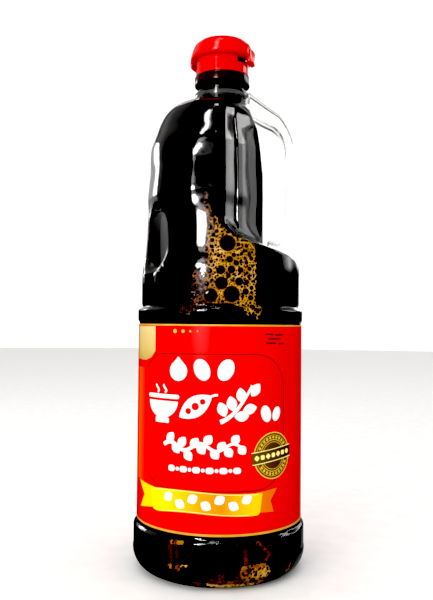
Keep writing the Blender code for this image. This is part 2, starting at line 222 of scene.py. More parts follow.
# the bottle's blown shape, in mm: radius from angle and height
bottle = {
    # (radius, height) rows: the pushed-up middle out to the ring it stands on, then the same inside
    "underside": [(0, 6.0), (12, 5.9), (22, 5.2), (30, 2.9), (36.5, 0.15), (37.3, 0)],
    "innerBase": [(48.9, 5.6), (45.2, 3.4), (40.5, 1.8), (35.5, 1.8), (22, 6.8), (0, 7.6)],
    "contactOuter": 41.5, "baseRadius": 52.3, "baseCorner": 13.0, "wall": 1.2,
    # (height, radius) outlines: ledge, base, label panel, rib, groove and shoulder, then grip, then neck
    "lowOutline": [
        (13.0, 52.3), (14.1, 52.0), (26.4, 52.0), (28.2, 49.7), (147.2, 49.7), (148.8, 50.7), (154.9, 50.7),
        (156.9, 47.9), (158.6, 48.6), (180, 48.6),
    ],
    "gripOutline": [
        (170, 48.6), (180, 48.6), (190, 46.9), (214, 46.0), (224, 46.9), (240, 45.6), (255, 44.4),
        (263, 41.6), (270, 39.0), (276, 35.6), (280, 30.4), (282.6, 24.0), (284.2, 18.5), (285.6, 14.8),
    ],
    "neckOutline": [
        (285.6, 14.8), (290.1, 14.8), (290.4, 15.4), (292.4, 15.4), (293.2, 13.2), (317.4, 13.2),
    ],
    "gripBottom": 176, "facesTop": 254, "domeTop": 285.6, "bore": 11.4, "neckBore": 12.8,
    "edgeRounding": 0.9, "neckRounding": 0.4,
    # the inner wall runs straight behind the label and the rib, and has no rows behind the rib
    "straight": (27, 158.6), "straightFrom": 30, "noRows": (147, 158.6),
    # extra rows on the plain wall, and rows below, over and above the recess's edge and on the dome
    "plainRows": [*range(40, 137, 12), 162, 169],
    "outerCounts": (26, 16, 40, 30), "innerCounts": (12, 8, 18, 14),
}
recess = {
    "ridge": 99.5, "front": 80, "highFront": 62, "frontTurn": (236, 256), "slant": 35.5, "frontCornerX": 1.5,
    "endWall": [(238, 25.6), (266, 22.0), (281, 15.4)],
    "edgeHeight": 182, "edgeRise": 8, "sweepHeight": 25, "sweepAngle": 7.8, "floorRise": 9,
    # flutes: middle and half width in degrees, depth and both ends; the steep flank's share, soft ends
    "flutes": [(80.3, 7.4, 2.1, 200, 275), (46, 21, 1.9, 199, 270)], "fluteFlank": 0.14, "fluteEnd": 8,
    # degrees that a face or the wall reaches on, how softly the walls meet, and meet the grip's skin
    "reach": 12, "wallBlends": (0.5, 0.8), "skinBlend": 0.7, "leastFacing": 0.05,
    # flat faces: from, to, facing and how softly each meets its neighbours
    "faces": [(99.5, 113.6, 98.5, 0.9), (113.6, 145, 129.3, 0.9), (145, 180, 162.5, 3.6)],
    "facesFrom": (208, 222), "facesTo": (240, 257),
    # thumb hollow: angle, half angle, height, half height, and its floor's facing, distance and dish
    "hollow": (152, 24, 196.5, 22.5), "hollowFloor": (151, 42.4, 0.003), "hollowEdge": 0.4,
}


def recessEdge(degrees):
    sweep = recess["sweepHeight"] * math.exp((degrees - recess["ridge"]) / recess["sweepAngle"])
    return recess["edgeHeight"] + recess["edgeRise"] * math.radians(degrees) + sweep


def smoothAlong(points, height):
    # a smooth curve through the points of an outline
    if height <= points[0][0]:
        return points[0][1]
    for index in range(len(points) - 1):
        low, high = points[index], points[index + 1]
        if height <= high[0]:
            before = points[max(index - 1, 0)]
            after = points[min(index + 2, len(points) - 1)]
            span = high[0] - low[0]
            lowSlope = (high[1] - before[1]) / (high[0] - before[0]) * span
            highSlope = (after[1] - low[1]) / (after[0] - low[0]) * span
            t = (height - low[0]) / span
            return ((2 * t ** 3 - 3 * t ** 2 + 1) * low[1] + (t ** 3 - 2 * t ** 2 + t) * lowSlope
                    + (3 * t ** 2 - 2 * t ** 3) * high[1] + (t ** 3 - t ** 2) * highSlope)
    return points[-1][1]


def cornerCurve():
    # rounded lower corner of the base, as (height, radius)
    corner, ring = bottle["baseCorner"], bottle["contactOuter"]
    turns = [math.radians(6 * step) for step in range(15)]
    return [(corner * (1 - math.cos(t)), ring + (bottle["baseRadius"] - ring) * math.sin(t)) for t in turns]


lowCurve = cornerCurve() + roundCorners(bottle["lowOutline"], bottle["edgeRounding"])
neckCurve = roundCorners(bottle["neckOutline"], bottle["neckRounding"], 2)


def gripRadius(degrees, height):
    radius = smoothAlong(bottle["gripOutline"], height)
    body = radius
    shown = smoothStep(height, *recess["facesFrom"]) * (1 - smoothStep(height, *recess["facesTo"]))
    for low, high, facing, blend in recess["faces"]:
        if low - recess["reach"] < degrees < high + recess["reach"]:
            flat = body * (1 - shown * (1 - math.cos(math.radians(high - facing))))
            radius = softMin(radius, flat / math.cos(math.radians(degrees - facing)), blend)
    middle, half, height0, halfHeight = recess["hollow"]
    inside = 1 - ((degrees - middle) / half) ** 2 - ((height - height0) / halfHeight) ** 2
    if inside > 0:
        facing, away, dish = recess["hollowFloor"]
        floorRadius = away / math.cos(math.radians(degrees - facing)) + dish * (degrees - facing) ** 2
        radius -= max(radius - floorRadius, 0) * smoothStep(inside, 0, recess["hollowEdge"])
    if degrees < recess["ridge"] + recess["reach"]:
        edge = recessEdge(min(degrees, recess["ridge"]))
        into = smoothStep(height, edge, edge + recess["floorRise"])
        if into > 0:
            wall = recessWall(degrees, height, body)
            radius += into * (softMin(wall, radius, recess["skinBlend"]) - radius)
    return max(radius, bottle["neckOutline"][0][1])


def recessWall(degrees, height, body):
    front = body * math.cos(math.radians(recess["ridge"] - recess["front"]))
    facing = math.radians(recess["front"])
    cornerX = recess["frontCornerX"]
    cornerY = (front - cornerX * math.cos(facing)) / math.sin(facing)
    turned = smoothStep(height, *recess["frontTurn"])
    frontFacing = recess["front"] + (recess["highFront"] - recess["front"]) * turned
    facing = math.radians(frontFacing)
    front = cornerX * math.cos(facing) + cornerY * math.sin(facing)
    slanted = math.radians(recess["slant"])
    slant = cornerX * math.cos(slanted) + cornerY * math.sin(slanted)
    end = along(recess["endWall"], height)
    distances = []
    for away, direction in ((front, frontFacing), (slant, recess["slant"]), (end, 0)):
        distances.append(away / max(math.cos(math.radians(degrees - direction)), recess["leastFacing"]))
    cornerBlend, endBlend = recess["wallBlends"]
    nearest = softMin(softMin(distances[0], distances[1], cornerBlend), distances[2], endBlend)
    for middle, half, depth, bottom, top in recess["flutes"]:
        across = (degrees - middle) / half
        if abs(across) < 1:
            ends = smoothStep(height, bottom, bottom + recess["fluteEnd"])
            ends *= 1 - smoothStep(height, top - recess["fluteEnd"], top)
            # each flute drops at once on its handle side and runs out towards the front
            share = (across + 1) / 2
            nearest -= depth * ends * smoothStep(share, 0, recess["fluteFlank"]) * (1 - share)
    return nearest


def outerRadius(degrees, height):
    degrees = abs(degrees)
    if height <= bottle["gripBottom"]:
        return along(lowCurve, height)
    if height < bottle["domeTop"]:
        return gripRadius(degrees, height)
    return along(neckCurve, height)


def innerRadius(degrees, height, depth):
    # the outer skin moved inwards
    low, high = bottle["straight"]
    behind = low < height < high
    radius = min(outerRadius(degrees, (high if behind else height) + shift * depth) for shift in (-1, 0, 1))
    if behind:
        bottom = outerRadius(degrees, bottle["straightFrom"])
        radius = bottom + (height - low) / (high - low) * (radius - bottom)
    return radius - depth


# stations round the axis: the corners between faces fall on a station
stationCorners = [0, 22, 66, 72.9, 88, 99.5, 113.6, 145, 180]
stationCells = [14, 30, 6, 14, 12, 14, 20, 20]
halfStations = [0.0]
for (low, high), cells in zip(zip(stationCorners, stationCorners[1:]), stationCells):
    halfStations += [low + (high - low) * step / cells for step in range(1, cells + 1)]
stationCount = 2 * (len(halfStations) - 1)


def stationAngle(step):
    return math.copysign(halfStations[abs(step)], step) if step else 0.0


def gripRows(belowCount, overCount, aboveCount, domeCount):
    # each row's height as a function of the angle, following the recess's edge
    bottom, middle, top = bottle["gripBottom"], bottle["facesTop"], bottle["domeTop"]
    rise = recess["floorRise"]

    def edge(degrees):
        return recessEdge(min(abs(degrees), recess["ridge"]))

    def shares(count):
        return [n / count for n in range(1, count + 1)]

    rows = [lambda a, s=s: bottom + s * (edge(a) - bottom) for s in shares(belowCount)]
    rows += [lambda a, s=s: edge(a) + s * rise for s in shares(overCount)]
    rows += [lambda a, s=s: (1 - s) * (edge(a) + rise) + s * middle for s in shares(aboveCount)]
    rows += [lambda a, s=s: middle + math.sin(s * math.pi / 2) * (top - middle) for s in shares(domeCount)[:-1]]
    return rows


def onAxis(radius, height, degrees):
    turn = math.radians(degrees)
    return (radius * mm * math.cos(turn), radius * mm * math.sin(turn), height * mm)


def skinPoint(row, degrees):
    # row is (radius function or number, height function or number)
    radius, height = row
    height = height(degrees) if callable(height) else height
    radius = radius(degrees, height) if callable(radius) else radius
    return onAxis(radius, height, degrees)


def makeShell(name, rows):
    def place(index, step):
        return skinPoint(rows[index], stationAngle(step))
    return spinSkin(name, len(rows), stationCount, place)


lowHeights = [height for height, radius in lowCurve if height <= bottle["gripBottom"]]
lowHeights = sorted(set(lowHeights + [bottle["gripBottom"]] + bottle["plainRows"]))
outerHeights = lowHeights + gripRows(*bottle["outerCounts"])
outerRows = bottle["underside"] + [(outerRadius, height) for height in outerHeights]
outerRows += [(radius, height) for height, radius in neckCurve]


def insideSkin(depth, rowCounts):
    # rows of a skin a set depth inside the outer one, from the base's corner up
    def radiusAt(degrees, height):
        return innerRadius(degrees, height, depth)
    low, high = bottle["noRows"]
    heights = [height for height in lowHeights if height > 6 and not low < height < high]
    return [(radiusAt, height) for height in heights + gripRows(*rowCounts)]


innerRows = [(bottle["bore"], 317.4), (bottle["bore"], 293.2), (bottle["neckBore"], 290)]
innerRows += list(reversed(insideSkin(bottle["wall"], bottle["innerCounts"]))) + bottle["innerBase"]
shell = makeShell("bottleShell", outerRows + innerRows)
shadeSmooth(shell, 50)
print("bottle shell:", len(shell.data.polygons), "faces")


# Blown PET: clear, very smooth, a little wavy where the wall is uneven. The eye sees
# sharp reflections with soft ripples and the drink's colour right behind them.
petLook = {"tint": "#F6FAF8", "shadowTint": "#E8ECEA", "roughness": (0.08, 0.13), "ior": 1.575,
           "rippleSize": 26, "rippleDepth": 0.64, "scuffSize": 2.2}


def makePet(name, look):
    material, tree, shader = startMaterial(name)
    spot = addNode(tree, "TexCoord").outputs["Object"]
    ripple = addNode(tree, "TexNoise", {"Vector": spot, "Scale": 1000 / look["rippleSize"], "Detail": 1.0})
    scuffs = addNode(tree, "TexNoise", {"Vector": spot, "Scale": 1000 / look["scuffSize"], "Detail": 3.0})
    relief = addNode(tree, "Bump", {"Height": ripple, "Distance": look["rippleDepth"] * mm, "Strength": 0.25})
    sheen = addNode(tree, "MapRange",
                    {"Value": scuffs, "From Min": 0.35, "From Max": 0.75, "To Min": look["roughness"][0],
                     "To Max": look["roughness"][1]})
    plug(tree, shader, {"Base Color": linear(look["tint"]), "Transmission Weight": 1.0, "IOR": look["ior"],
                        "Roughness": sheen, "Normal": relief})
    # lamps shine straight through to what is inside
    rays = addNode(tree, "LightPath")
    clear = addNode(tree, "BsdfTransparent", {"Color": linear(look["shadowTint"])})
    mixed = addNode(tree, "MixShader", {0: rays.outputs["Is Shadow Ray"], 1: shader, 2: clear})
    plug(tree, tree.nodes["Material Output"], {"Surface": mixed})
    return material


petMaterial = makePet("blownPet", petLook)
dress(shell, petMaterial, "clear_pet", "bottle")


# soy sauce, reaching just into the wall
sauce = {
    "intoWall": 0.15, "level": 303, "meniscus": 0.8, "counts": (16, 10, 26, 20),
    "base": [(0, 7.3), (22, 6.5), (35.3, 1.5), (40.6, 1.5), (45.4, 3.0), (49.2, 5.2)],
}
fillLevel, fillBore = sauce["level"], bottle["bore"] + sauce["intoWall"]
saucePoints = sauce["base"] + insideSkin(bottle["wall"] - sauce["intoWall"], sauce["counts"])
saucePoints += [
    (bottle["neckBore"] + sauce["intoWall"], 290), (fillBore, 293.4), (fillBore, fillLevel + sauce["meniscus"]),
    (bottle["bore"] - 1.0, fillLevel + 0.2), (bottle["bore"] - 3.0, fillLevel), (0, fillLevel),
]
sauceBody = makeShell("soySauce", saucePoints)
shadeSmooth(sauceBody, 50)

# Soy sauce: a nearly black red-brown liquid, mirror smooth; it lets a trace of brown
# through where it is thin, so the colour lifts a little in slow clouds.
sauceLook = {"dark": "#050201", "brown": "#120602", "cloudSize": 18, "roughness": 0.06, "ior": 1.38}


def makeSauceMaterial(look):
    material, tree, shader = startMaterial("soySauceLiquid")
    spot = addNode(tree, "TexCoord").outputs["Object"]
    clouds = addNode(tree, "TexNoise", {"Vector": spot, "Scale": 1000 / look["cloudSize"], "Detail": 2.0})
    colour = addNode(tree, "ValToRGB", {"Fac": clouds}, [(0.45, look["dark"]), (0.8, look["brown"])])
    plug(tree, shader, {"Base Color": colour, "Roughness": look["roughness"],
                        "IOR": look["ior"], "Specular IOR Level": 0.0})
    return material


dress(sauceBody, makeSauceMaterial(sauceLook), "soy_sauce", "sauce")
print("soy sauce:", len(sauceBody.data.polygons), "faces")


# froth film and bubbles against the front wall
froth = {
    "leftEdge": [(147, 104), (150, 112), (153, 118), (156, 119), (157.5, 108), (161, 109.4), (169.5, 110.3),
                 (176.2, 108.9), (181, 102.4), (193.6, 101.9), (202, 102.4), (213, 103.0), (223.5, 103.2)],
    "rightEdge": [(147, 62), (152, 60.5), (156, 62), (159, 66), (190.2, 65.6), (192.8, 67), (198.7, 74),
                  (204.2, 86), (209.3, 97.6), (216.1, 99.6), (223.5, 101.6)],
    "across": (121, 59), "up": (148.5, 224.5), "columns": 190, "rows": 210,   # degrees, mm and the grid
    "intoWall": 0.34, "thickness": 1.1, "ragged": 1.0, "filmRadius": 47.0,
    "ribTop": 158.4, "ribMiddle": 91, "ribGap": 10.5, "ribLow": 151.5,   # patches on the rib
    # the large bubbles: sideways and up in mm, radius in mm
    "large": [(3.5, 191.9, 4.7), (-0.3, 176.8, 2.6), (0.2, 169.4, 3.7), (-5.6, 162.6, 4.0),
              (5.8, 163.3, 4.7), (5.6, 177.2, 2.2), (-6.3, 176.2, 1.6), (10.6, 176.9, 1.7),
              (13.6, 164.8, 1.9), (16.5, 161.4, 1.6), (14.2, 170.2, 1.5), (-7.7, 169.0, 1.5),
              (-11.0, 170.5, 1.2), (17.0, 167.0, 1.3), (8.3, 180.6, 1.7), (11.5, 186.0, 1.1),
              (-4.6, 196.5, 1.3), (-5.5, 190.0, 1.2), (9.9, 170.4, 2.4), (17.0, 183.5, 1.3),
              (-8.6, 185.0, 1.7), (-8.8, 180.4, 1.5), (4.6, 182.6, 2.0), (14.6, 190.6, 1.2),
              (8.4, 197.6, 1.1), (17.6, 156.0, 1.8), (-9.4, 164.8, 1.3), (-8.8, 173.6, 1.3),
              (14.0, 181.0, 1.2), (-1.6, 184.6, 1.0)],
    "smallest": 0.34, "tries": 9000, "spacing": 0.1, "smallBelow": 1.0, "spread": (-24, 25, 151, 224),
    "flatness": 0.32, "cutAt": -0.05, "tallest": 1.6, "sunk": 0.06,   # each bubble's dome
}


def frothWall(degrees, height):
    return innerRadius(degrees, height, bottle["wall"]) + froth["intoWall"]


def wobble(first, second):
    # a smooth uneven value from -1 to 1
    one = math.sin(first * 2.1 + 1.3 * math.sin(second * 1.7))
    two = math.sin(second * 2.7 + 1.1 * math.sin(first * 1.9))
    return (one + two) / 2


def inFroth(degrees, height):
    # degrees from the handle's side, on the front half
    if height > recessEdge(min(degrees, recess["ridge"])) + 0.6:
        return False
    uneven = froth["ragged"] * (wobble(height * 0.9, degrees * 0.6) + 0.5 * wobble(height * 2.3, degrees * 1.1))
    left = along(froth["leftEdge"], height) + uneven
    right = along(froth["rightEdge"], height) - uneven * 0.8
    if height < froth["ribTop"]:  # patches on the rib, left and right of a clear middle
        gap = froth["ribGap"] + 3.5 * wobble(height * 1.1, 2.0)
        if abs(degrees - froth["ribMiddle"]) < gap + (froth["ribTop"] - height) * 1.6:
            return False
        return right < degrees < left and height > froth["ribLow"] + 2.2 * wobble(degrees * 0.5, 7.0)
    return right < degrees < left


def frothTone(degrees, height):
    # how bright the film is: amber on the right, dark brown to the left and in the spike
    side = (90 - degrees) * math.radians(froth["filmRadius"])
    left = smoothStep(side, -13, -1)
    spike = 1 - 0.4 * smoothStep(height, 200, 212)
    low = 1 - 0.25 * smoothStep(-height, -172, -160) * (1 - smoothStep(side, 4, 10))
    return (0.22 + 0.55 * left) * spike * low + 0.08 * wobble(side * 0.35, height * 0.3)


def frothSheet(name, size, place, inside, tone):
    # a flat grid cut to the froth's outline, put against the wall and given its thickness
    bpy.ops.object.select_all(action="DESELECT")
    bpy.ops.mesh.primitive_grid_add(x_subdivisions=size["columns"], y_subdivisions=size["rows"], size=1)
    sheet = bpy.context.active_object
    sheet.name = sheet.data.name = name
    across, up = size["across"], size["up"]
    for point in sheet.data.vertices:
        point.co.x = (across[0] + across[1]) / 2 + point.co.x * (across[1] - across[0])
        point.co.y = (up[0] + up[1]) / 2 + point.co.y * (up[1] - up[0])
    cut = bmesh.new()
    cut.from_mesh(sheet.data)
    middles = [(face, face.calc_center_median()) for face in cut.faces]
    bmesh.ops.delete(cut, geom=[face for face, at in middles if not inside(at.x, at.y)], context="FACES")
    layer = cut.loops.layers.uv.new("tone")
    for face in cut.faces:
        for corner in face.loops:
            corner[layer].uv = (tone(corner.vert.co.x, corner.vert.co.y), 0)
    for vert in cut.verts:
        vert.co = place(vert.co.x, vert.co.y)
    cut.to_mesh(sheet.data)
    cut.free()
    faceOutwards(sheet)
    applyModifier(sheet, "SOLIDIFY", thickness=froth["thickness"] * mm, offset=-1.0)
    shadeSmooth(sheet, 60)
    return sheet


def onWall(degrees, height):
    return onAxis(frothWall(degrees, height), height, -degrees)


film = frothSheet("frothFilm", froth, onWall, inFroth, frothTone)

# Froth of soy sauce: many fine bubbles pressed to the wall. The eye sees bright amber
# film between dark round cells, deeper brown where it thins out.
frothLook = {"cellSize": 2.0, "fineSize": 0.9, "patchSize": 7, "roughness": 0.35, "ior": 1.35}


def makeFrothMaterial(look):
    material, tree, shader = startMaterial("soyFroth")
    spot = addNode(tree, "TexCoord").outputs["Object"]
    tones = addNode(tree, "UVMap", uv_map="tone")
    parts = addNode(tree, "SeparateXYZ", {0: tones})
    patches = addNode(tree, "TexNoise",
                      {"Vector": spot, "Scale": 1000 / look["patchSize"], "Detail": 3.0, "Roughness": 0.6})
    scaled = addNode(tree, "Math", {0: parts.outputs["X"], 1: 0.6}, operation="MULTIPLY")
    amount = addNode(tree, "Math", {0: patches, 1: 0.54, 2: scaled}, operation="MULTIPLY_ADD")
    film = addNode(tree, "ValToRGB", {"Fac": amount},
                   [(0.27, "#240500"), (0.37, "#5E1E04"), (0.49, "#A0560A"), (0.60, "#CC8C1A"),
                    (0.74, "#F0B444"), (0.95, "#FFE09A")])
    cells = addNode(tree, "TexVoronoi", {"Vector": spot, "Scale": 1000 / look["cellSize"], "Randomness": 1.0},
                    feature="F1")
    fine = addNode(tree, "TexVoronoi", {"Vector": spot, "Scale": 1000 / look["fineSize"], "Randomness": 1.0},
                   feature="F1")
    cellRim = addNode(tree, "ValToRGB", {"Fac": cells},
                      [(0.26, "#080200"), (0.34, "#6A2A06"), (0.44, "#FFFFFF")])
    fineRim = addNode(tree, "ValToRGB", {"Fac": fine}, [(0.22, "#3C1402"), (0.36, "#FFFFFF")])
    holes = addNode(tree, "Mix", {0: 1.0, 6: film, 7: cellRim}, data_type="RGBA", blend_type="MULTIPLY")
    fineHoles = addNode(tree, "Mix", {0: 0.8, 6: holes, 7: fineRim}, data_type="RGBA", blend_type="MULTIPLY")
    relief = addNode(tree, "Bump", {"Height": cells, "Distance": 0.4 * mm, "Strength": 0.5})
    plug(tree, shader, {"Base Color": fineHoles, "Normal": relief,
                        "Roughness": look["roughness"], "IOR": look["ior"]})
    return material


frothMaterial = makeFrothMaterial(frothLook)
dress(film, frothMaterial, "foam", "foam")
print("froth film:", len(film.data.polygons), "faces")


def placeBubbles():
    # sideways is the arc length to the right of the front, at the film's radius
    draw = random.Random(11)
    left, right, low, high = froth["spread"]
    placed = list(froth["large"])
    for attempt in range(froth["tries"]):
        share = attempt / froth["tries"]
        biggest = 1.5 * (1 - share) ** 2.2 + froth["smallest"] + 0.12
        radius = draw.uniform(froth["smallest"], biggest)
        side, height = draw.uniform(left, right), draw.uniform(low, high)
        degrees = 90 - math.degrees(side / froth["filmRadius"])
        if inFroth(degrees, height) and all(
                math.hypot(side - x, height - z) > radius + r + froth["spacing"] for x, z, r in placed):
            placed.append((side, height, radius))
    return placed


def makeBubbles(name, places, segments, rings):
    # one dome, copied on to the wall at each place
    bpy.ops.object.select_all(action="DESELECT")
    bpy.ops.mesh.primitive_uv_sphere_add(segments=segments, ring_count=2 * rings, radius=1)
    dome = bpy.context.active_object
    editAll(dome)
    bpy.ops.mesh.bisect(plane_co=(0, 0, froth["cutAt"]), plane_no=(0, 0, 1), clear_inner=True, use_fill=True)
    bpy.ops.mesh.select_all(action="SELECT")
    bpy.ops.transform.resize(value=(1, 1, froth["flatness"]))
    leaveEdit()
    points = [tuple(vert.co) for vert in dome.data.vertices]
    faces = [tuple(face.vertices) for face in dome.data.polygons]
    bpy.data.objects.remove(dome, do_unlink=True)
    allPoints, allFaces, rims = [], [], []
    for side, height, radius in places:
        degrees = 90 - math.degrees(side / froth["filmRadius"])
        centre = Vector(onWall(degrees, height))
        up = (Vector(onWall(degrees, height + 0.4)) - centre).normalized()
        right = Vector((math.sin(math.radians(degrees)), math.cos(math.radians(degrees)), 0))
        out = right.cross(up).normalized()
        start = len(allPoints)
        for x, y, z in points:
            lift = z * min(radius, froth["tallest"]) - froth["sunk"]
            allPoints.append(tuple(centre + (right * x + up * y) * radius * mm + out * lift * mm))
            rims.append(math.hypot(x, y))
        allFaces += [tuple(start + index for index in face) for face in faces]
    bubbles = newPiece(name, allPoints, (), allFaces)
    layer = bubbles.data.uv_layers.new(name="rim")
    for loop in bubbles.data.loops:
        layer.data[loop.index].uv = (rims[loop.vertex_index], 0)
    tidyNormals(bubbles, 1e-7)
    shadeSmooth(bubbles, 60)
    return bubbles


bubblePlaces = placeBubbles()
smallBelow = froth["smallBelow"]
bigBubbles = makeBubbles("bigBubbles", [place for place in bubblePlaces if place[2] >= smallBelow], 20, 5)
smallBubbles = makeBubbles("smallBubbles", [place for place in bubblePlaces if place[2] < smallBelow], 10, 3)

# Larger bubbles: air against the wall, through which the dark sauce shows. The eye
# sees a black disc with a red-brown rim and an amber line round it.
bubbleLook = {"inside": "#040100", "glow": "#160400", "rim": "#4A1602", "edge": "#8A4606", "roughness": 0.08,
              "ior": 1.33}


def makeBubbleMaterial(look):
    material, tree, shader = startMaterial("bubbleSkin")
    rim = addNode(tree, "UVMap", uv_map="rim")
    parts = addNode(tree, "SeparateXYZ", {0: rim})
    colour = addNode(tree, "ValToRGB", {"Fac": parts.outputs["X"]},
                     [(0.0, look["inside"]), (0.66, look["inside"]), (0.84, look["glow"]), (0.94, look["rim"]),
                      (1.0, look["edge"])])
    plug(tree, shader, {"Base Color": colour, "Roughness": look["roughness"], "IOR": look["ior"]})
    return material


bubbleMaterial = makeBubbleMaterial(bubbleLook)
dress(bigBubbles, bubbleMaterial, "foam")
dress(smallBubbles, bubbleMaterial, "foam")
print("bubbles:", len(bubblePlaces))


# froth low in the base: strokes and blobs as sideways, up, sideways, up, radius, tone; some tones hold painted
# light, as marked below
baseFroth = {
    "marks": [
        (10.1, 25.4, 14.8, 22.2, 0.8, 0.12), (14.8, 22.2, 15.2, 15.5, 1.1, 0.16),
        (22.1, 25.8, 26.5, 22.5, 0.9, 0.2), (26.5, 22.5, 29.5, 18.5, 1.1, 0.2),
        (29.5, 18.5, 26.0, 15.0, 1.0, 0.25), (26.5, 22.5, 30.8, 23.8, 0.5, 0.15),
        (28.5, 19.5, 32.6, 18.8, 0.5, 0.12), (15.6, 10.5, 16.4, 9.0, 4.0, 0.42),
        (21.5, 9.0, 22.5, 9.0, 4.9, 0.75), (26.4, 9.6, 26.6, 9.2, 3.4, 0.9),
        (17.0, 5.0, 25.0, 5.0, 3.0, 0.45), (14.0, 12.8, 26.0, 13.2, 1.5, 0.5),
        # painted glint: the pale speck at 24.6 mm with tone 1.4; the strip along the bottom edge, from -5.6 to
        # 21 mm, is partly the froth's own yellow and partly painted light shining through it, made paler
        (24.6, 11.2, 26.6, 11.6, 1.1, 1.4), (-5.6, 3.2, 5.0, 1.9, 1.3, 1.0),
        (5.0, 1.9, 21.0, 2.6, 1.5, 0.9), (-3.7, 4.0, -3.7, 6.6, 1.0, 0.2), (1.4, 4.0, 1.4, 9.2, 1.3, 0.3),
        (9.9, 4.0, 9.9, 7.2, 1.2, 0.3), (-5.0, 4.4, 12.0, 4.6, 1.2, 0.3),
        (-28.4, 25.0, -27.8, 15.5, 1.2, 0.12), (-24.6, 26.0, -23.9, 16.0, 1.0, 0.16),
        (-28.0, 25.2, -21.0, 25.8, 0.9, 0.5), (-28.2, 12.5, -28.2, 12.0, 1.2, 0.42),
        (-23.1, 12.2, -23.1, 11.6, 1.4, 0.42), (-22.6, 13.0, -17.4, 13.8, 0.5, 0.7),
        (44.6, 6.2, 47.0, 9.6, 0.9, 0.4), (-15.0, 4.4, -8.0, 4.2, 0.6, 0.3),
        (-12.4, 4.0, -12.2, 2.4, 0.9, 0.2),
    ],
    "holes": [(17.0, 11.5, 1.5), (21.0, 8.6, 1.2), (19.6, 5.4, 1.9), (24.4, 7.6, 0.8), (14.4, 9.0, 0.9),
              (23.6, 12.2, 0.7), (12.6, 2.6, 0.6), (16.6, 2.3, 0.8), (26.8, 6.2, 0.7), (18.4, 9.0, 0.5),
              (1.0, 2.2, 0.35), (8.0, 2.4, 0.5)],
    "across": (-31, 49), "up": (0.9, 27), "columns": 220, "rows": 76, "middle": 51.0, "depth": 0.9,
}


def nearestMark(side, height):
    # distance into the froth (negative outside) and the tone there
    best, tone = -99.0, 0.0
    for x0, z0, x1, z1, radius, brightness in baseFroth["marks"]:
        dx, dz = x1 - x0, z1 - z0
        share = min(max(((side - x0) * dx + (height - z0) * dz) / (dx * dx + dz * dz), 0), 1)
        into = radius - math.hypot(side - x0 - share * dx, height - z0 - share * dz)
        if into > best:
            best, tone = into, brightness
    return best, tone


def inBaseFroth(side, height):
    uneven = 0.45 * wobble(side * 1.3, height * 1.7) + 0.25 * wobble(side * 3.1, height * 2.9)
    if nearestMark(side, height)[0] + uneven < 0:
        return False
    return all(math.hypot(side - x, height - z) > radius for x, z, radius in baseFroth["holes"])


def baseFrothPlace(side, height):
    # just inside the base's wall: straight above the corner, along its curve below
    degrees = math.degrees(side / baseFroth["middle"]) - 90
    corner, depth = bottle["baseCorner"], baseFroth["depth"]
    if height >= corner:
        return onAxis(outerRadius(degrees, height) - depth, height, degrees)
    reach = bottle["baseRadius"] - bottle["contactOuter"]
    turn = math.acos(1 - height / corner)
    across, down = math.sin(turn) / reach, math.cos(turn) / corner
    length = math.hypot(across, down)
    radius = bottle["contactOuter"] + reach * math.sin(turn) - across / length * depth
    return onAxis(radius, height + down / length * depth, degrees)


basePatches = frothSheet("baseFroth", baseFroth, baseFrothPlace, inBaseFroth,
                         lambda side, height: nearestMark(side, height)[1])
dress(basePatches, frothMaterial, "foam")
print("base froth:", len(basePatches.data.polygons), "faces")


# label
label = {"bottom": 29.0, "top": 146.4, "inner": 50.0, "outer": 50.3, "edgeLine": 1.0, "lowLine": (30.1, 31.4)}
labelBack = [(label["inner"], label["top"]), (label["inner"], label["bottom"])]
labelFront = [(label["outer"], label["bottom"] + (label["top"] - label["bottom"]) * n / 24) for n in range(25)]
labelOutline = [labelBack[1]] + labelFront + labelBack
wrap = spinOutline("wrapLabel", [(radius * mm, height * mm) for radius, height in labelOutline], 192)
shadeSmooth(wrap, 30)

# Printed plastic film: gravure ink under a gloss varnish. The eye sees a flat, very
# saturated red with fine gold lines at both edges and very faint creases.
printLook = {"red": "#F00404", "deepRed": "#D80202", "gold": "#B98A2C", "paleGold": "#D6AE50",
             "margin": "#240402", "cloudSize": 30, "shineSize": 6, "creaseSize": 14, "creaseDepth": 0.3,
             "roughness": 0.32, "ior": 1.5, "specular": 0.25}


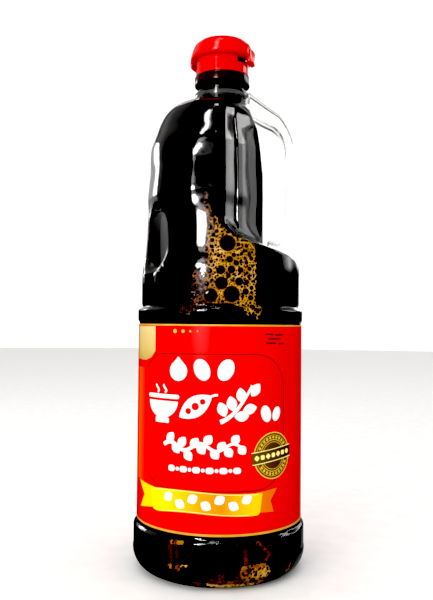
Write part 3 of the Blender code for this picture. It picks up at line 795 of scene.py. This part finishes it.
def makePrint(look):
    material, tree, shader = startMaterial("printedFilm")
    spot = addNode(tree, "TexCoord").outputs["Object"]
    height = addNode(tree, "SeparateXYZ", {0: spot}).outputs["Z"]
    clouds = addNode(tree, "TexNoise", {"Vector": spot, "Scale": 1000 / look["cloudSize"], "Detail": 2.0})
    shine = addNode(tree, "TexNoise", {"Vector": spot, "Scale": 1000 / look["shineSize"], "Detail": 1.0})
    creases = addNode(tree, "TexNoise", {"Vector": spot, "Scale": 1000 / look["creaseSize"], "Detail": 2.0})
    # gold edge lines and a dark margin, by height
    lowLine = label["lowLine"]
    top = addNode(tree, "Math", {0: height, 1: (label["top"] - label["edgeLine"]) * mm},
                  operation="GREATER_THAN")
    over = addNode(tree, "Math", {0: height, 1: lowLine[0] * mm}, operation="GREATER_THAN")
    under = addNode(tree, "Math", {0: height, 1: lowLine[1] * mm}, operation="LESS_THAN")
    low = addNode(tree, "Math", {0: over, 1: under}, operation="MULTIPLY")
    line = addNode(tree, "Math", {0: top, 1: low}, operation="MAXIMUM")
    edge = addNode(tree, "Math", {0: 1.0, 1: over}, operation="SUBTRACT")
    red = addNode(tree, "Mix", {0: clouds, 6: linear(look["red"]), 7: linear(look["deepRed"])},
                  data_type="RGBA")
    gold = addNode(tree, "Mix", {0: shine, 6: linear(look["gold"]), 7: linear(look["paleGold"])},
                   data_type="RGBA")
    lined = addNode(tree, "Mix", {0: line, 6: red, 7: gold}, data_type="RGBA")
    colour = addNode(tree, "Mix", {0: edge, 6: lined, 7: linear(look["margin"])}, data_type="RGBA")
    relief = addNode(tree, "Bump", {"Height": creases, "Distance": look["creaseDepth"] * mm, "Strength": 0.12})
    plug(tree, shader, {"Base Color": colour, "Normal": relief, "IOR": look["ior"],
                        "Roughness": look["roughness"], "Specular IOR Level": look["specular"]})
    return material


dress(wrap, makePrint(printLook), "printed_film", "label")
print("label:", len(wrap.data.polygons), "faces")


# printed shapes: flat outlines in mm on the unrolled label, wrapped round it
printRadius, bendStep, inkThickness = label["outer"], 2.0, 0.05
# how far off the film each layer of ink starts, in mm
lifts = {"line": 0.02, "flat": 0.03, "ground": 0.04, "white": 0.05, "ring": 0.10, "face": 0.12, "mark": 0.17,
         "top": 0.18}


def wrapPrint(piece, lift):
    # bends a flat shape in X and Z round the bottle and gives it the ink's thickness
    editAll(piece)
    sides = [vert.co.x for vert in piece.data.vertices]
    side = min(sides) + bendStep
    while side < max(sides):
        bpy.ops.mesh.select_all(action="SELECT")
        bpy.ops.mesh.bisect(plane_co=(side, 0, 0), plane_no=(1, 0, 0))
        side += bendStep
    leaveEdit()
    for vert in piece.data.vertices:
        turn = math.degrees(vert.co.x / printRadius) - 90
        vert.co = onAxis(printRadius + lifts[lift], vert.co.z, turn)
    faceOutwards(piece)
    applyModifier(piece, "SOLIDIFY", thickness=inkThickness * mm, offset=1.0)
    return piece


def flatShape(name, outline, lift):
    points = [(x, 0, z) for x, z in outline]
    return wrapPrint(newPiece(name, points, (), [tuple(range(len(points)))]), lift)


def flatBand(name, centreLine, width, lift, closed=False):
    # a stroke of even or changing width along a line of points
    count = len(centreLine)
    points, faces = [], []
    for index, (x, z) in enumerate(centreLine):
        before = centreLine[index - 1] if index or closed else centreLine[0]
        after = centreLine[(index + 1) % count] if index < count - 1 or closed else centreLine[-1]
        step = Vector((after[0] - before[0], after[1] - before[1])).normalized()
        half = (width(index / (count - 1)) if callable(width) else width) / 2
        points += [(x - step.y * half, 0, z + step.x * half), (x + step.y * half, 0, z - step.x * half)]
    for index in range(count if closed else count - 1):
        here, there = 2 * index, 2 * ((index + 1) % count)
        faces.append((here, here + 1, there + 1, there))
    return wrapPrint(newPiece(name, points, (), faces), lift)


def leaning(x, z, tilt, points):
    # flat points turned by the tilt and moved to their place
    lean = math.radians(tilt)
    return [(x + px * math.cos(lean) - pz * math.sin(lean), z + px * math.sin(lean) + pz * math.cos(lean))
            for px, pz in points]


def ellipsePoints(x, z, across, up, tilt=0.0, start=0.0, end=360.0, count=40):
    whole = abs(end - start - 360) < 0.01
    turns = [math.radians(start + (end - start) * n / count) for n in range(count if whole else count + 1)]
    return leaning(x, z, tilt, [(across * math.cos(turn), up * math.sin(turn)) for turn in turns])


def roundedBox(x, z, width, height, corner, tilt=0.0, cuts=5):
    points = []
    for cx, cz, start in ((1, 1, 0), (-1, 1, 90), (-1, -1, 180), (1, -1, 270)):
        for n in range(cuts + 1):
            turn = math.radians(start + 90 * n / cuts)
            points.append((cx * (width / 2 - corner) + corner * math.cos(turn),
                           cz * (height / 2 - corner) + corner * math.sin(turn)))
    return leaning(x, z, tilt, points)


def leafPoints(x, z, length, half, tilt, count=12):
    upper = [(length * n / count, half * math.sin(math.pi * n / count) ** 0.8) for n in range(count + 1)]
    lower = [(px, -pz) for px, pz in reversed(upper[1:-1])]
    return leaning(x, z, tilt, upper + lower)


def finishPrint(name, pieces, material):
    piece = joinPieces(pieces, name)
    tidyNormals(piece, 1e-7)
    dress(piece, material, "printed_film")


# Printing inks: opaque white, matt gold with a fine metal grain, and fades of yellow and
# orange. The eye sees flat, clean-edged colour under the same gloss as the film.
def makeInk(name, stops, direction=None, grain=0.6, roughness=0.3):
    material, tree, shader = startMaterial(name)
    spot = addNode(tree, "TexCoord").outputs["Object"]
    source = addNode(tree, "TexNoise", {"Vector": spot, "Scale": 1000 / grain, "Detail": 2.0})
    if direction:
        axis, low, high, uneven = direction
        parts = addNode(tree, "SeparateXYZ", {0: spot})
        share = addNode(tree, "MapRange",
                        {"Value": parts.outputs[axis], "From Min": low * mm, "From Max": high * mm})
        amount = addNode(tree, "Math", {0: source, 1: uneven, 2: share}, operation="MULTIPLY_ADD")
        source = amount
    colour = addNode(tree, "ValToRGB", {"Fac": source}, stops)
    plug(tree, shader, {"Base Color": colour, "Roughness": roughness,
                        "Specular IOR Level": printLook["specular"]})
    return material


whiteInk = makeInk("whiteInk", [(0.3, "#EDEAE8"), (0.7, "#F6F4F2")])
redInk = makeInk("redInk", [(0.3, "#E00404"), (0.7, "#EA0404")])
darkRedInk = makeInk("darkRedInk", [(0.3, "#8E0000"), (0.7, "#A40202")])
brownInk = makeInk("brownInk", [(0.3, "#3C0000"), (0.7, "#5A0202")])
goldInk = makeInk("goldInk", [(0.3, "#C89C3A"), (0.7, "#E2BC5A")], roughness=0.35)
badgeInk = makeInk("badgeInk", [(0.0, "#A88A3C"), (0.5, "#D2B468"), (1.0, "#DCC484")], ("Z", 122, 146, 0.15))
orangeInk = makeInk("orangeInk", [(0.0, "#FF6A1E"), (0.6, "#FA3A0A"), (1.0, "#F20804")], ("X", -49, -42.5, 0.1))
sealInk = makeInk("sealInk", [(0.0, "#6E5008"), (0.5, "#5A3E02"), (1.0, "#3A2600")], ("X", 19, 40, 0.12))
ribbonInk = makeInk("ribbonInk", [(0.0, "#F2EA04"), (0.2, "#F2CE08"), (0.5, "#E09A08"), (0.68, "#D88A04"),
                                  (0.86, "#F0B40C"), (1.0, "#F2C818")], ("X", -36, 22, 0.08))
tailInk = makeInk("tailInk", [(0.0, "#F4DC10"), (0.4, "#E8B408"), (1.0, "#E0700A")], ("X", -46, 28, 0.05))
ribbonLightInk = makeInk("ribbonLightInk", [(0.3, "#F4E47A"), (0.7, "#F8ECA0")])

# Artwork in mm on the unrolled label: x from the front's middle, z up
art = {
    "panel": (-6.2, 92.15, 93.6, 75.3, 20), "panelWidth": 0.6,   # x, z, width, height, corner, its line
    "badge": [(-66.5, 145.0), (-41.9, 145.0), (-41.9, 130.8), (-46.0, 127.0), (-52.0, 125.2), (-66.5, 125.6)],
    "orangeBar": [(-64, 121), (-47.5, 121), (-49.6, 86), (-47.5, 55), (-64, 55)],
    "dots": [(-26.8, 142.4, 1.2), (-21.6, 142.4, 1.0), (-17.2, 142.4, 0.6), (-12.9, 142.5, 0.45)],
    "lines": [(29.2, 141.0, 5.5), (36.4, 140.7, 6.0), (30.6, 136.0, 7.0), (38.2, 135.6, 4.4),
              (33.0, 138.4, 9.0)], "lineSize": (0.8, 0.35),
}
panelPoints = roundedBox(*art["panel"], cuts=12)
finishPrint("panelLine", [flatBand("panel", panelPoints, art["panelWidth"], "line", closed=True)], darkRedInk)
finishPrint("goldBadge", [flatShape("badge", art["badge"], "ground")], badgeInk)
finishPrint("orangeBar", [flatShape("bar", art["orangeBar"], "flat")], orangeInk)
dots = [ellipsePoints(x, z, radius, radius, count=20) for x, z, radius in art["dots"]]
finishPrint("goldDots", [flatShape("dot", outline, "flat") for outline in dots], goldInk)
lines = [roundedBox(x, z, width, *art["lineSize"]) for x, z, width in art["lines"]]
finishPrint("smallLines", [flatShape("line", outline, "flat") for outline in lines], brownInk)

# x and z, then half sizes and tilt, or length, half width and tilt for a leaf
white = {
    "drop": (-24.4, 120.2, 5.6, 5.6), "dropTip": (-24.4, 128.2),
    "beans": [(-10.2, 121.2, 4.4, 6.2, 24), (3.2, 121.2, 4.4, 6.2, -24), (27.2, 96.6, 3.3, 4.8, 18),
              (34.6, 96.2, 2.8, 4.2, -20)],
    "bowl": (-35.6, 103.0, 11.2, 9.6), "bowlEnd": (-46.8, 103.0),
    "bowlParts": [(-35.6, 105.6, 24.0, 2.4, 1.1), (-35.6, 92.2, 10.5, 3.0, 0.8)],   # rim and foot
    "steam": (-39.2, -33.4), "steamLow": 107.6, "steamStep": 0.42, "stroke": 1.3,
    "pod": (-23.4, 94.6, 22.5, 5.6, 33), "leafSize": (8.6, 2.9),
    "podBeans": [(-17.9, 98.2, 1.7), (-13.8, 100.9, 2.1), (-9.6, 103.6, 1.6)],
    "leaves": [(3.0, 95.6, 112), (7.6, 98.6, 104), (12.6, 103.0, 100), (8.0, 95.4, 4), (12.8, 98.6, 14),
               (17.8, 106.6, 54)],
    # the vine's leaves: how many, length, loss of length from leaf to leaf, half width and tilt
    "vine": (-33.8, 78.6, 46.0, 2.0), "vineLeaves": (12, 7.4, 0.12, 2.6, 52),
    "bars": (-28.2, 66.0, 7.6, 6), "barSize": (4.4, 3.4, 1.4), "barDot": 1.1,
}


def whiteShapes():
    # a drop and four beans, a steaming bowl, a pod on its stalk and a sprig
    outlines = [[white["dropTip"]] + ellipsePoints(*white["drop"], start=145, end=395, count=26)]
    outlines += [ellipsePoints(*bean) for bean in white["beans"]]
    outlines.append([white["bowlEnd"]] + ellipsePoints(*white["bowl"], start=180, end=360, count=30))
    outlines += [roundedBox(*box) for box in white["bowlParts"]]
    low, step, stroke = white["steamLow"], white["steamStep"], white["stroke"]
    bands = [([(x + math.sin(n / 2), low + n * step) for n in range(12)], stroke) for x in white["steam"]]
    outlines.append(leafPoints(*white["pod"], 24))
    bands.append(([(-5.2 + 0.5 * n, 106.4 + 0.28 * n - 0.02 * n * n) for n in range(9)], stroke))
    stem = [(0.2 + n * 0.95, 92.6 + 0.04 * n * n + 0.30 * n) for n in range(20)]
    bands.append((stem, lambda t: 2.6 - 1.2 * t))
    outlines += [leafPoints(x, z, *white["leafSize"], tilt) for x, z, tilt in white["leaves"]]
    # a leafy vine, its leaves in turn up and down
    x0, z0, length, wave = white["vine"]
    vine = [(x0 + length * n / 60, z0 + wave * math.sin(n / 60 * math.tau * 2.5)) for n in range(61)]
    bands.append((vine, lambda t: 2.4 - 1.0 * t))
    leaves, long, loss, half, tilt = white["vineLeaves"]
    for n in range(leaves):
        x, z = vine[min(3 + 5 * n, 60)]
        outlines.append(leafPoints(x, z, long - loss * n, half, -tilt if n % 2 else tilt))
    # a row of short bars with dots between them
    x, z, step, count = white["bars"]
    outlines += [roundedBox(x + step * n, z, *white["barSize"]) for n in range(count)]
    dot = white["barDot"]
    outlines += [ellipsePoints(x + step / 2 + step * n, z, dot, dot, count=16) for n in range(count - 1)]
    shapes = [flatShape("white", outline, "white") for outline in outlines]
    return shapes + [flatBand("white", line, width, "white") for line, width in bands]


finishPrint("whiteShapes", whiteShapes(), whiteInk)
podBeans = [ellipsePoints(x, z, radius, radius, count=24) for x, z, radius in white["podBeans"]]
finishPrint("podBeans", [flatShape("bean", outline, "face") for outline in podBeans], redInk)

seal = {
    "middle": (32.4, 73.0), "radius": 13.2, "rings": [(12.8, 0.8), (11.4, 0.35), (8.8, 0.55), (7.6, 0.35)],
    "dots": 28, "dotsRadius": 10.2, "dotRadius": 0.85, "dotsClear": 0.42,   # no dots behind the band
    "tilt": 6, "rise": 0.3, "band": (28.4, 6.6, 0.4), "bandLine": (28.4, 0.5, 0.2), "lineAway": 3.3,
    "mark": (2.6, 2.6, 0.8), "markStep": 3.7, "markTurn": 45,
}
sealX, sealZ = seal["middle"]
bandZ, tilt = sealZ + seal["rise"], seal["tilt"]
disc = ellipsePoints(sealX, sealZ, seal["radius"], seal["radius"], count=64)
finishPrint("sealDisc", [flatShape("disc", disc, "ground")], sealInk)
rings = [(ellipsePoints(sealX, sealZ, radius, radius, count=64), width) for radius, width in seal["rings"]]
sealLines = [flatBand("ring", outline, width, "ring", closed=True) for outline, width in rings]
away, size = seal["dotsRadius"], seal["dotRadius"]
for n in range(seal["dots"]):
    turn = math.tau * n / seal["dots"]
    if abs(math.sin(turn - math.radians(tilt))) > seal["dotsClear"]:
        x, z = sealX + away * math.cos(turn), sealZ + away * math.sin(turn)
        sealLines.append(flatShape("dot", ellipsePoints(x, z, size, size, count=10), "ring"))
finishPrint("sealLines", sealLines, goldInk)
finishPrint("sealBand", [flatShape("band", roundedBox(sealX, bandZ, *seal["band"], tilt), "face")], sealInk)
bandMarks = [flatShape("line", roundedBox(x, z, *seal["bandLine"], tilt), "mark")
             for x, z in leaning(sealX, bandZ, tilt, [(0, -seal["lineAway"]), (0, seal["lineAway"])])]
for n in range(-3, 4):
    x, z = leaning(sealX, bandZ, tilt, [(seal["markStep"] * n, 0)])[0]
    turned = tilt + seal["markTurn"] * (n % 2)
    bandMarks.append(flatShape("mark", roundedBox(x, z, *seal["mark"], turned), "mark"))
finishPrint("sealMarks", bandMarks, ribbonLightInk)

ribbon = {
    "top": (53.0, -44.6, 25.0), "low": (40.8, -37.0, 18.6), "endRounding": 4.5,   # height, from x, to x
    "rightEnd": [(25.0, 53.0), (23.4, 41.0), (18.6, 40.8)],
    "leftEnd": [(-37.0, 40.8), (-42.4, 41.0), (-44.6, 53.0)],
    "tails": [[(-59.4, 54.8), (-42.0, 53.6), (-39.0, 42.8), (-57.8, 39.4), (-52.0, 47.4)],
              [(21.0, 53.2), (35.4, 54.6), (30.6, 48.2), (33.0, 41.6), (18.6, 42.6)]],
    "marks": (-33.0, 48.4, 7.6, 7), "markSize": (6.6, 2.6), "markTurn": 30, "lineIn": 0.6, "lineWidth": 0.4,
}


def ribbonEdge(height, low, high, count=30):
    points = []
    for n in range(count + 1):
        share = n / count
        wave = 1.3 * math.sin(math.pi * share) + 0.5 * math.sin(math.tau * share)
        points.append((low + (high - low) * share, height + wave))
    return points


ribbonTop, ribbonLow = ribbonEdge(*ribbon["top"]), ribbonEdge(*ribbon["low"])
rightEnd = roundCorners(ribbon["rightEnd"], ribbon["endRounding"], 5)[1:-1]
leftEnd = roundCorners(ribbon["leftEnd"], ribbon["endRounding"], 5)[1:-1]
ribbonOutline = ribbonTop + rightEnd + list(reversed(ribbonLow)) + leftEnd
finishPrint("ribbonTails", [flatShape("tail", outline, "white") for outline in ribbon["tails"]], tailInk)
finishPrint("ribbonFace", [flatShape("face", ribbonOutline, "face")], ribbonInk)
edges = ((ribbonTop, -ribbon["lineIn"]), (ribbonLow, ribbon["lineIn"]))
edgeLines = [[(x, z + shift) for x, z in points[1:-1]] for points, shift in edges]
ribbonLines = [flatBand("line", points, ribbon["lineWidth"], "top") for points in edgeLines]
finishPrint("ribbonLines", ribbonLines, ribbonLightInk)
x0, z0, step, count = ribbon["marks"]
marks = [leafPoints(x0 + step * n, z0, *ribbon["markSize"], ribbon["markTurn"] * (1 - 2 * (n % 2)))
         for n in range(count)]
finishPrint("ribbonMarks", [flatShape("mark", outline, "top") for outline in marks], whiteInk)
print("label print done")


# cap: skirt with its rim, and the flip-top lid with tongue and hinge
cap = {
    "skirt": [(0, 317.7), (13.5, 317.7), (13.5, 313.4), (15.3, 312.0), (15.3, 302.2), (16.1, 301.4),
              (16.1, 295.6), (17.3, 295.6), (17.3, 300.7), (16.5, 301.7), (16.5, 316.6), (15.5, 319.0),
              (0, 319.0)],
    "lid": [(0, 319.3), (16.8, 319.3), (16.8, 311.4), (19.2, 311.4), (20.2, 312.4), (19.9, 314.0),
            (19.1, 316.2), (18.4, 318.4), (17.6, 320.4), (16.0, 322.2), (13.6, 323.6), (11.0, 324.3),
            (9.6, 324.6), (9.0, 325.1), (8.0, 325.3), (0, 325.4)],
    "rounding": 0.8, "sides": 160, "shadedBandTop": 301.3,
    # blocks swept round the axis: section corners, from and to degrees, rounding
    "pocket": ([(14.9, 307.6), (17.4, 307.6), (17.4, 311.2), (14.9, 311.2)], -56, -21, 0.4),
    "blocks": {
        "tongue": ([(18.9, 308.4), (20.4, 308.9), (20.4, 312.9), (18.9, 313.6)], 135.4, 174.6, 0.35),
        "block": ([(17.2, 311.8), (20.0, 312.6), (20.0, 318.6), (17.2, 319.6)], -60, -34, 0.5),
        "lug": ([(18.0, 307.4), (20.6, 308.4), (20.6, 316.2), (18.0, 317.2)], -36, -4, 0.6),
    },
}


def turnedPiece(name, outline, rounding, sides):
    rounded = roundCorners(outline, rounding, 3)
    piece = spinOutline(name, [(radius * mm, height * mm) for radius, height in rounded], sides)
    shadeSmooth(piece, 40)
    return piece


def curvedBlock(name, corners, start, end, rounding, steps=16):
    # a (radius, height) section swept round the axis from start to end degrees
    points = [onAxis(radius, height, start) for radius, height in corners]
    piece = newPiece(name, points, (), [tuple(range(len(points)))])
    editAll(piece)
    bpy.ops.mesh.spin(steps=steps, angle=math.radians(end - start), center=(0, 0, 0), axis=(0, 0, -1))
    leaveEdit()
    tidyNormals(piece)
    applyModifier(piece, "BEVEL", width=rounding * mm, segments=2, limit_method="ANGLE")
    return piece


def unite(target, tools, operation="UNION"):
    for tool in tools:
        applyModifier(target, "BOOLEAN", operation=operation, solver="EXACT", object=tool)
        bpy.data.objects.remove(tool, do_unlink=True)


skirt = turnedPiece("capSkirt", cap["skirt"], cap["rounding"], cap["sides"])
lid = turnedPiece("capLid", cap["lid"], cap["rounding"], cap["sides"])
unite(skirt, [curvedBlock("pocket", *cap["pocket"])], "DIFFERENCE")
shadeSmooth(skirt, 40)
unite(lid, [curvedBlock(name, *block) for name, block in cap["blocks"].items()])
shadeSmooth(lid, 40)

# Injection moulded polypropylene: bright red all through, a soft gloss with a fine
# orange-peel skin, slightly duller where fingers rub it.
# the band colour is painted shade for the band under the skirt, not the plastic's own colour
capLook = {"red": "#DE0205", "shade": "#D40003", "band": "#300205", "peelSize": 0.9, "peelDepth": 0.05,
           "rubSize": 7, "roughness": (0.12, 0.22), "ior": 1.49, "specular": 0.3}


def makeCapPlastic(look):
    material, tree, shader = startMaterial("redPolypropylene")
    spot = addNode(tree, "TexCoord").outputs["Object"]
    rub = addNode(tree, "TexNoise", {"Vector": spot, "Scale": 1000 / look["rubSize"], "Detail": 3.0})
    peel = addNode(tree, "TexNoise", {"Vector": spot, "Scale": 1000 / look["peelSize"], "Detail": 1.0})
    red = addNode(tree, "Mix", {0: rub, 6: linear(look["red"]), 7: linear(look["shade"])}, data_type="RGBA")
    dull = addNode(tree, "MapRange",
                   {"Value": rub, "From Min": 0.3, "From Max": 0.7, "To Min": look["roughness"][0],
                    "To Max": look["roughness"][1]})
    relief = addNode(tree, "Bump", {"Height": peel, "Distance": look["peelDepth"] * mm, "Strength": 0.25})
    # painted shade: the band under the skirt is coloured a near-black wine red, to stand for the shade it sits
    # in
    height = addNode(tree, "SeparateXYZ", {0: spot}).outputs["Z"]
    band = addNode(tree, "Math", {0: height, 1: cap["shadedBandTop"] * mm}, operation="LESS_THAN")
    colour = addNode(tree, "Mix", {0: band, 6: red, 7: linear(look["band"])}, data_type="RGBA")
    plug(tree, shader, {"Base Color": colour, "Roughness": dull, "IOR": look["ior"],
                        "Normal": relief, "Specular IOR Level": look["specular"]})
    return material


capPlastic = makeCapPlastic(capLook)
dress(skirt, capPlastic, "red_plastic", "cap_base")
dress(lid, capPlastic, "red_plastic", "cap_lid")
print("cap done")


# clear handle: strap from a collar round the neck down to a foot in the recess
handle = {
    "halfWidth": 7.0, "rounding": 1.1,
    "armTop": [(16.2, 291.0), (27.0, 282.8)],
    "outerBend": (20.8, 244.0, 26.0, 40.0), "outerTurns": (55, 48, 40, 32, 25, 18, 12, 6, 0),
    "footBottom": [(46.8, 184.6), (43.8, 186.6), (34.2, 190.0), (28.8, 192.6)],
    "footTop": [(28.8, 198.4), (34.5, 195.8), (37.6, 196.6), (39.2, 199.8), (39.5, 204.0)],
    "innerBend": (28.5, 252.0, 11.0, 18.0), "innerTurns": (0, 10, 20, 30, 40, 50, 60, 70, 78),
    "armUnder": [(24.2, 272.6), (18.6, 276.0), (16.6, 280.6)],
    "collar": [(14.6, 287.0), (17.2, 287.0), (17.2, 290.0), (14.6, 290.0)], "collarRounding": 0.3,
    "ribs": (30.6, 32.6, 34.6, 36.6), "ribSize": (0.9, 11.0, 4.4), "ribHeight": 196.2,
}


def bendPoints(bend, turns):
    x, z, across, up = bend
    return [(x + across * math.cos(math.radians(t)), z + up * math.sin(math.radians(t))) for t in turns]


def makeHandle():
    outline = handle["armTop"] + bendPoints(handle["outerBend"], handle["outerTurns"])
    outline += handle["footBottom"] + handle["footTop"]
    outline += bendPoints(handle["innerBend"], handle["innerTurns"]) + handle["armUnder"]
    half = handle["halfWidth"] * mm
    section = [(x * mm, -half, z * mm) for x, z in outline]
    strap = newPiece("clearHandle", section, (), [tuple(range(len(section)))])
    editAll(strap)
    bpy.ops.mesh.extrude_region_move(TRANSFORM_OT_translate={"value": (0, 2 * half, 0)})
    leaveEdit()
    tidyNormals(strap)
    applyModifier(strap, "BEVEL", width=handle["rounding"] * mm, segments=3, limit_method="ANGLE",
                  angle_limit=math.radians(60))
    ringOutline = roundCorners(handle["collar"] + [handle["collar"][0]], handle["collarRounding"], 2)
    ringOutline.append(ringOutline[0])
    collar = spinOutline("collar", [(r * mm, z * mm) for r, z in ringOutline], 96)
    unite(strap, [collar])
    # grip ribs across the foot
    for x in handle["ribs"]:
        bpy.ops.object.select_all(action="DESELECT")
        bpy.ops.mesh.primitive_cube_add(size=mm, location=(x * mm, 0, handle["ribHeight"] * mm),
                                        scale=handle["ribSize"])
        unite(strap, [bpy.context.object])
    tidyNormals(strap, 1e-5)
    shadeSmooth(strap, 40)
    return strap


strap = makeHandle()
handleLook = {"tint": "#F8FAF8", "shadowTint": "#F2F4F2", "roughness": (0.03, 0.08), "ior": 1.5,
              "rippleSize": 16, "rippleDepth": 0.8, "scuffSize": 1.6}
dress(strap, makePet("clearMouldedPlastic", handleLook), "clear_handle_plastic", "handle")
print("handle done")


# floor, lights and camera
studio = {
    "floorRadius": 4.0, "floorDrop": 0.02, "blackLevel": 0.03, "whiteLevel": 0.85, "soft": 0.8,
    "cameraPlace": (-0.0023, -0.4426, 0.146), "cameraTurn": (92.017, -0.5, 0), "lens": 42.6,
}
bpy.ops.object.select_all(action="DESELECT")
bpy.ops.mesh.primitive_circle_add(vertices=96, radius=studio["floorRadius"], fill_type="NGON")
floor = bpy.context.active_object
floor.name = "floor"
editAll(floor)
bpy.ops.transform.translate(value=(0, 0, -studio["floorDrop"] * mm))
leaveEdit()
floorMaterial, floorTree, floorShader = startMaterial("paleFloor")
floorSpot = addNode(floorTree, "TexCoord").outputs["Object"]
floorGrain = addNode(floorTree, "TexNoise", {"Vector": floorSpot, "Scale": 60.0})
floorColour = addNode(floorTree, "ValToRGB", {"Fac": floorGrain}, [(0.3, "#F2F1EF"), (0.7, "#F8F7F6")])
plug(floorTree, floorShader, {"Base Color": floorColour, "Roughness": 0.8})
floor.data.materials.append(floorMaterial)
floor.visible_glossy = False


def addPanel(name, place, target, size, power, shape="RECTANGLE", glossy=True):
    lamp = bpy.data.lights.new(name, "AREA")
    lamp.shape = shape
    lamp.size, lamp.size_y = size
    lamp.energy = power
    panel = bpy.data.objects.new(name, lamp)
    bpy.context.scene.collection.objects.link(panel)
    panel.location = place
    panel.rotation_euler = (Vector(target) - Vector(place)).to_track_quat("-Z", "Y").to_euler()
    panel.visible_camera = False
    panel.visible_glossy = glossy
    panel.visible_diffuse = not glossy
    panel.visible_transmission = False


# place, aim, size and power; a panel is either seen in the gloss or, with False, lights the surfaces
panels = {
    "windowStrip": ((-0.44, -0.90, 0.37), (0, 0, 0.20), (0.21, 0.20), 4, "ELLIPSE"),
    "windowTop": ((-0.42, -0.90, 0.56), (0, 0, 0.22), (0.15, 0.16), 0.25, "ELLIPSE"),
    "highStrip": ((-0.41, -0.74, 1.10), (0, 0, 0.25), (0.10, 0.74), 4.1, "ELLIPSE"),
    "lampSpot": ((-0.14, -0.80, 0.86), (0, 0, 0.30), (0.03, 0.03), 0.6),
    "overhead": ((-0.10, -0.40, 1.55), (0, -0.04, 0.16), (0.26, 0.20), 1.2),
    "backLeft": ((-0.75, 0.82, 0.52), (-0.04, 0, 0.24), (0.31, 0.24), 1.4),
    "backGrey": ((-0.45, 1.02, 0.52), (-0.04, 0, 0.24), (0.40, 0.24), 0.17),
    "backLow": ((-0.62, 0.93, 0.333), (-0.04, 0, 0.24), (0.75, 0.13), 0.11),
    "lidBack": ((0.02, 1.00, 1.12), (0, 0, 0.32), (0.95, 0.13), 1.1),
    "highRight": ((1.05, 0.47, 0.80), (0.01, 0, 0.22), (0.42, 0.30), 1.3),
    "frontFill": ((-0.75, -1.18, 0.50), (0, 0, 0.12), (1.0, 0.6), 8.5, "RECTANGLE", False),
    "topFill": ((0.0, -0.2, 1.7), (0, 0, 0.1), (1.2, 1.2), 6, "RECTANGLE", False),
}
for name, values in panels.items():
    addPanel(name, *values)

world = bpy.data.worlds.new("studio")
bpy.context.scene.world = world
world.use_nodes = True
worldTree = world.node_tree
worldTree.nodes.clear()
# how bright the room is in the gloss: a direction, where it fades from and to, and both strengths
room = {
    "behind": ((0.5, 0.87, 0.0), 0.6, 0.95, 0.01, 3.2), "gap": ((0.67, 0.74, 0), 0.93, 0.985, 1.0, 0.06),
    "above": ((0, 0, 1), 0.07, 0.19, 0.06, 1.0), "below": ((0, 0, 1), 0.28, 0.40, 1.0, 0.08),
    "glow": ((-0.75, 0.45, 0.48), 0.72, 1.0, 0.0, 0.45),
}
sky = addNode(worldTree, "TexCoord").outputs["Generated"]
fade = {}
for name, (direction, start, end, first, last) in room.items():
    side = addNode(worldTree, "VectorMath", {0: sky, 1: direction}, operation="DOT_PRODUCT")
    fade[name] = addNode(worldTree, "MapRange",
                         {"Value": side, "From Min": start, "From Max": end, "To Min": first, "To Max": last},
                         interpolation_type="SMOOTHSTEP")
parted = addNode(worldTree, "Math", {0: fade["behind"], 1: fade["gap"]}, operation="MULTIPLY")
bothSides = addNode(worldTree, "Math", {0: parted, 1: fade["below"], 2: fade["glow"]}, operation="MULTIPLY_ADD")
wall = addNode(worldTree, "Math", {0: bothSides, 1: fade["above"]}, operation="MULTIPLY")
plain = (1.0, 1.0, 1.0, 1.0)
mirrored, soft, seen = [
    addNode(worldTree, "Background", {"Color": plain, "Strength": strength})
    for strength in (wall, studio["soft"], 1.0)]
rays = addNode(worldTree, "LightPath").outputs
straight = addNode(worldTree, "Math", {0: rays["Is Camera Ray"], 1: rays["Is Transmission Ray"]},
                   operation="MAXIMUM")
lit = addNode(worldTree, "MixShader", {0: rays["Is Diffuse Ray"], 1: mirrored, 2: soft})
shown = addNode(worldTree, "MixShader", {0: straight, 1: lit, 2: seen})
addNode(worldTree, "OutputWorld", {"Surface": shown})
world.cycles.sampling_method = "NONE"

scene = bpy.context.scene
view = scene.view_settings
view.view_transform = "Standard"
view.use_curve_mapping = True
view.curve_mapping.black_level = [studio["blackLevel"]] * 3
view.curve_mapping.white_level = [studio["whiteLevel"]] * 3
view.curve_mapping.update()
cameraData = bpy.data.cameras.new("camera")
cameraData.sensor_width = 36
cameraData.lens = studio["lens"]
cameraData.clip_start = 0.01
camera = bpy.data.objects.new("camera", cameraData)
scene.collection.objects.link(camera)
camera.location = studio["cameraPlace"]
camera.rotation_euler = [math.radians(turn) for turn in studio["cameraTurn"]]
scene.camera = camera
print("studio done")
